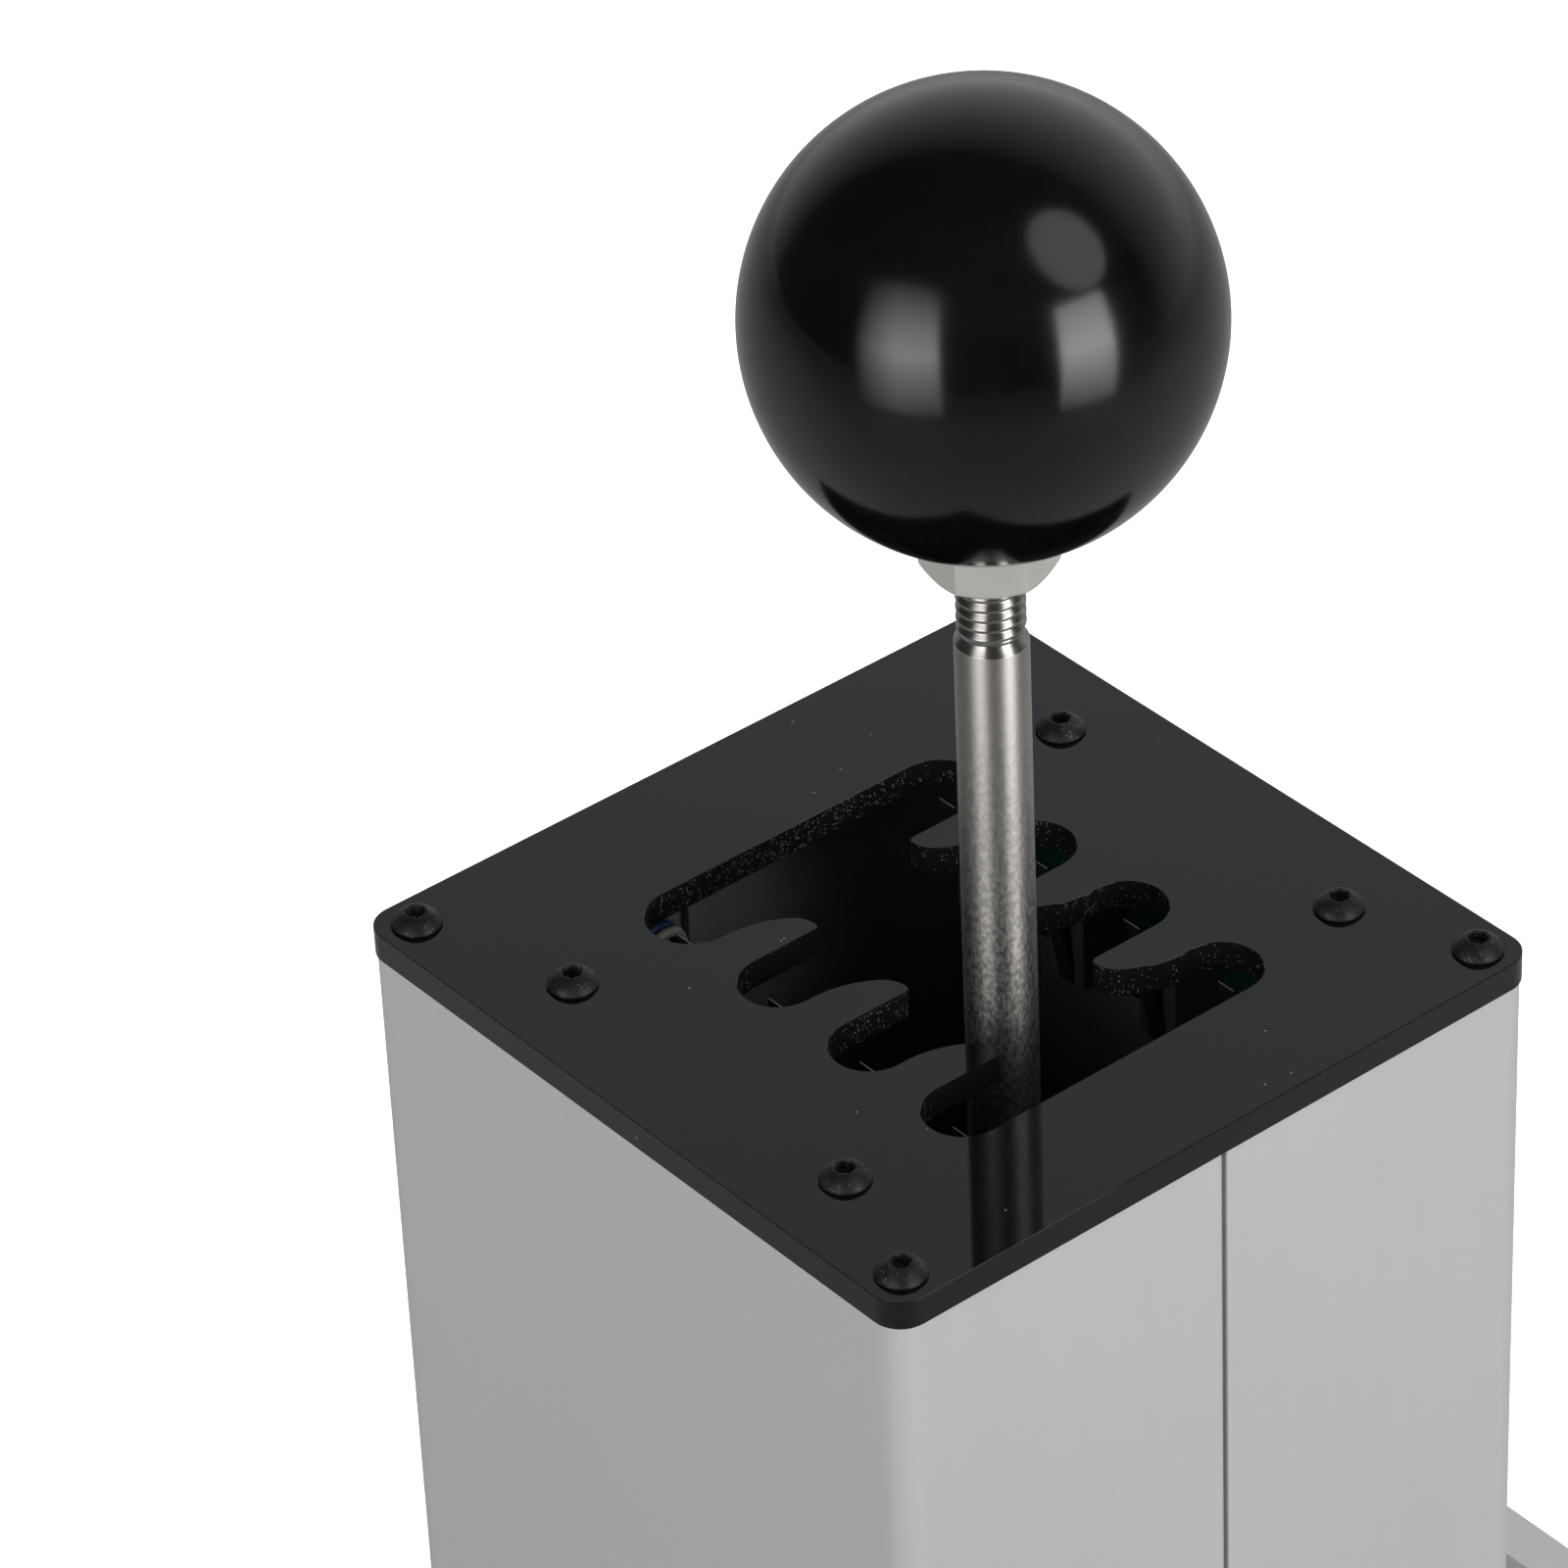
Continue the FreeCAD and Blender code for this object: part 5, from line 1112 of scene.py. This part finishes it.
class SHIFTER_OT_make_stage(bpy.types.Operator):
    """Set up the camera, the pale floor and the soft light"""

    bl_idname = "shifter.make_stage"
    bl_label = "Stage"

    def execute(self, context):
        scene = context.scene
        settings = scene.shifter_stage
        scene.view_settings.view_transform = "Standard"
        lens = bpy.data.cameras.new("shifter_camera")
        lens.lens = settings.camera_lens
        camera = bpy.data.objects.new("shifter_camera", lens)
        camera.location = settings.camera_place
        camera.rotation_euler = settings.camera_turn
        scene.collection.objects.link(camera)
        scene.camera = camera
        floor = self.make_floor(settings)
        self.make_sky(scene, settings)
        left = self.make_light(
            "left_window", settings.left_window, azimuth=-81, elevation=9.3, sides=(0.51, 0.87),
            distance=0.7, roll=11)
        self.fade(left.data, rise=0.5, peak=0.53, top=0.06)
        right = self.make_light(
            "right_window", settings.right_window, azimuth=7.5, elevation=4, sides=(0.336, 0.66),
            distance=0.7, roll=-8)
        self.fade(right.data, rise=0.02, peak=0.6, top=0.55)
        self.make_light(
            "round_window", settings.round_light, azimuth=25.4, elevation=47.7, sides=(0.52, 0.60),
            distance=0.9, shape="ELLIPSE")
        above = self.make_light(
            "floor_light", settings.floor_light, azimuth=110, elevation=88, sides=(9.0, 9.0), distance=2.2)
        receivers = bpy.data.collections.new("floor_only")
        receivers.objects.link(floor)
        above.light_linking.receiver_collection = receivers
        return {"FINISHED"}

    @staticmethod
    def make_floor(settings):
        """A pale floor. In reflections and bounced light its colour carries painted shade towards the
        camera, and further off painted light behind the shifter, as in a small studio."""
        away = (-0.765, 0.644, 0)
        behind = (-0.60, 0.80, 0)
        drop = 0.02 * MM
        finish = Finish("pale_floor")
        here = finish.place()
        reach = finish.node("ShaderNodeVectorMath", {"operation": "LENGTH"}, {0: here}, "Value")
        # Painted shade: seen in reflections, the floor is dark on the camera's side; painted light: it
        # brightens far behind the shifter.
        near = finish.mix(
            finish.ramp(finish.along(here, away), -0.23, 0.0), settings.near_floor, settings.side_floor)
        distant = finish.mix(
            finish.ramp(finish.along(here, behind), 0.3, 3.0), settings.near_sky, settings.far_floor)
        painted_shade_and_light = finish.mix(finish.ramp(reach, 0.35, 1.6), near, distant)
        plain = finish.mix(finish.noise(3), *shades(settings.floor, 0.01))
        material = finish.shade({
            "Base Color": finish.mix(finish.seen(), painted_shade_and_light, plain),
            "Roughness": 0.8,
        })
        form = bmesh.new()
        bmesh.ops.create_grid(form, x_segments=2, y_segments=2, size=settings.floor_side / 2)
        mesh = bpy.data.meshes.new("floor")
        form.to_mesh(mesh)
        form.free()
        mesh.materials.append(material)
        floor = bpy.data.objects.new("floor", mesh)
        floor.location.z = -drop
        bpy.context.scene.collection.objects.link(floor)
        return floor

    @staticmethod
    def make_sky(scene, settings):
        """A white backdrop. Reflections show it brighter behind the shifter than on the camera's side."""
        behind = (-0.57, 0.82, -0.2)
        world = bpy.data.worlds.new("studio")
        sky = Finish("studio", world)
        share = sky.along(sky.node("ShaderNodeTexCoord", out="Generated"), behind)
        tone = sky.mix(sky.ramp(share, 0.2, 1.0), settings.near_sky, settings.far_sky)
        tone = sky.mix(sky.seen(), tone, (1, 1, 1))
        backdrop = sky.node("ShaderNodeBackground", {}, {"Color": tone, "Strength": 1.0})
        scene.world = sky.output("World", backdrop)

    @staticmethod
    def make_light(name, strength, azimuth, elevation, sides, distance, shape="RECTANGLE", roll=0):
        """A soft light of a radiance, at an azimuth and elevation from the ball and facing it."""
        azimuth = math.radians(azimuth)
        elevation = math.radians(elevation)
        direction = spot(math.cos(elevation), azimuth, math.sin(elevation))
        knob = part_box("ball_knob")
        lamp = bpy.data.lights.new(name, "AREA")
        lamp.shape = shape
        lamp.size, lamp.size_y = sides
        area = sides[0] * sides[1] * (math.pi / 4 if shape == "ELLIPSE" else 1)
        lamp.energy = strength * area * math.pi
        light = bpy.data.objects.new(name, lamp)
        light.location = (knob[0] + knob[1]) / 2 + direction * distance
        turn = direction.to_track_quat("Z", "Y").to_matrix() @ Matrix.Rotation(math.radians(roll), 3, "Z")
        light.rotation_euler = turn.to_euler()
        light.visible_camera = False
        bpy.context.scene.collection.objects.link(light)
        return light

    @staticmethod
    def fade(lamp, rise, peak, top):
        """Dim a window: dark at one side and at its foot, and brightest at its peak height."""
        glow = Finish(lamp.name, lamp)
        place = glow.node("ShaderNodeNewGeometry", out="Parametric")
        height = glow.part(place, "Y")
        upward = glow.ramp(height, 0.0, peak) ** 1.4 * glow.ramp(height, peak, 1.0, 1.0, top)
        share = glow.ramp(glow.part(place, "X"), 0.0, rise) * upward
        tone = glow.mix(share, (0, 0, 0), (1, 1, 1))
        glow.output("Light", glow.node("ShaderNodeEmission", {}, {"Color": tone, "Strength": 1.0}))


STEPS = (
    SHIFTER_OT_make_stage, SHIFTER_OT_make_knob, SHIFTER_OT_make_rod, SHIFTER_OT_make_nut,
    SHIFTER_OT_make_gate, SHIFTER_OT_make_plate_screws, SHIFTER_OT_make_leaves, SHIFTER_OT_make_springs,
    SHIFTER_OT_make_wires, SHIFTER_OT_dress_box, SHIFTER_OT_dress_switches, SHIFTER_OT_dress_gimbal,
    SHIFTER_OT_dress_controller)


class VIEW3D_PT_shifter(bpy.types.Panel):
    """Lists the steps that make the gear shifter"""

    bl_label = "Gear Shifter"
    bl_idname = "VIEW3D_PT_shifter"
    bl_space_type = "VIEW_3D"
    bl_region_type = "UI"
    bl_category = "Shifter"

    def draw(self, context):
        for step in STEPS:
            self.layout.operator(step.bl_idname)


GROUPS = {
    "shifter_sizes": ShifterSizes,
    "shifter_colours": ShifterColours,
    "shifter_stage": ShifterStage,
}


def register():
    for item in (*GROUPS.values(), *STEPS, VIEW3D_PT_shifter):
        bpy.utils.register_class(item)
    for name, group in GROUPS.items():
        setattr(bpy.types.Scene, name, PointerProperty(type=group))


def unregister():
    for name in GROUPS:
        delattr(bpy.types.Scene, name)
    for item in (VIEW3D_PT_shifter, *reversed(STEPS), *reversed(GROUPS.values())):
        bpy.utils.unregister_class(item)


def main():
    """Make the shifter."""
    register()
    for step in STEPS:
        group, name = step.bl_idname.split(".")
        if getattr(getattr(bpy.ops, group), name)() != {"FINISHED"}:
            raise RuntimeError(step.bl_label + " did not finish")


if __name__ == "__main__":
    main()
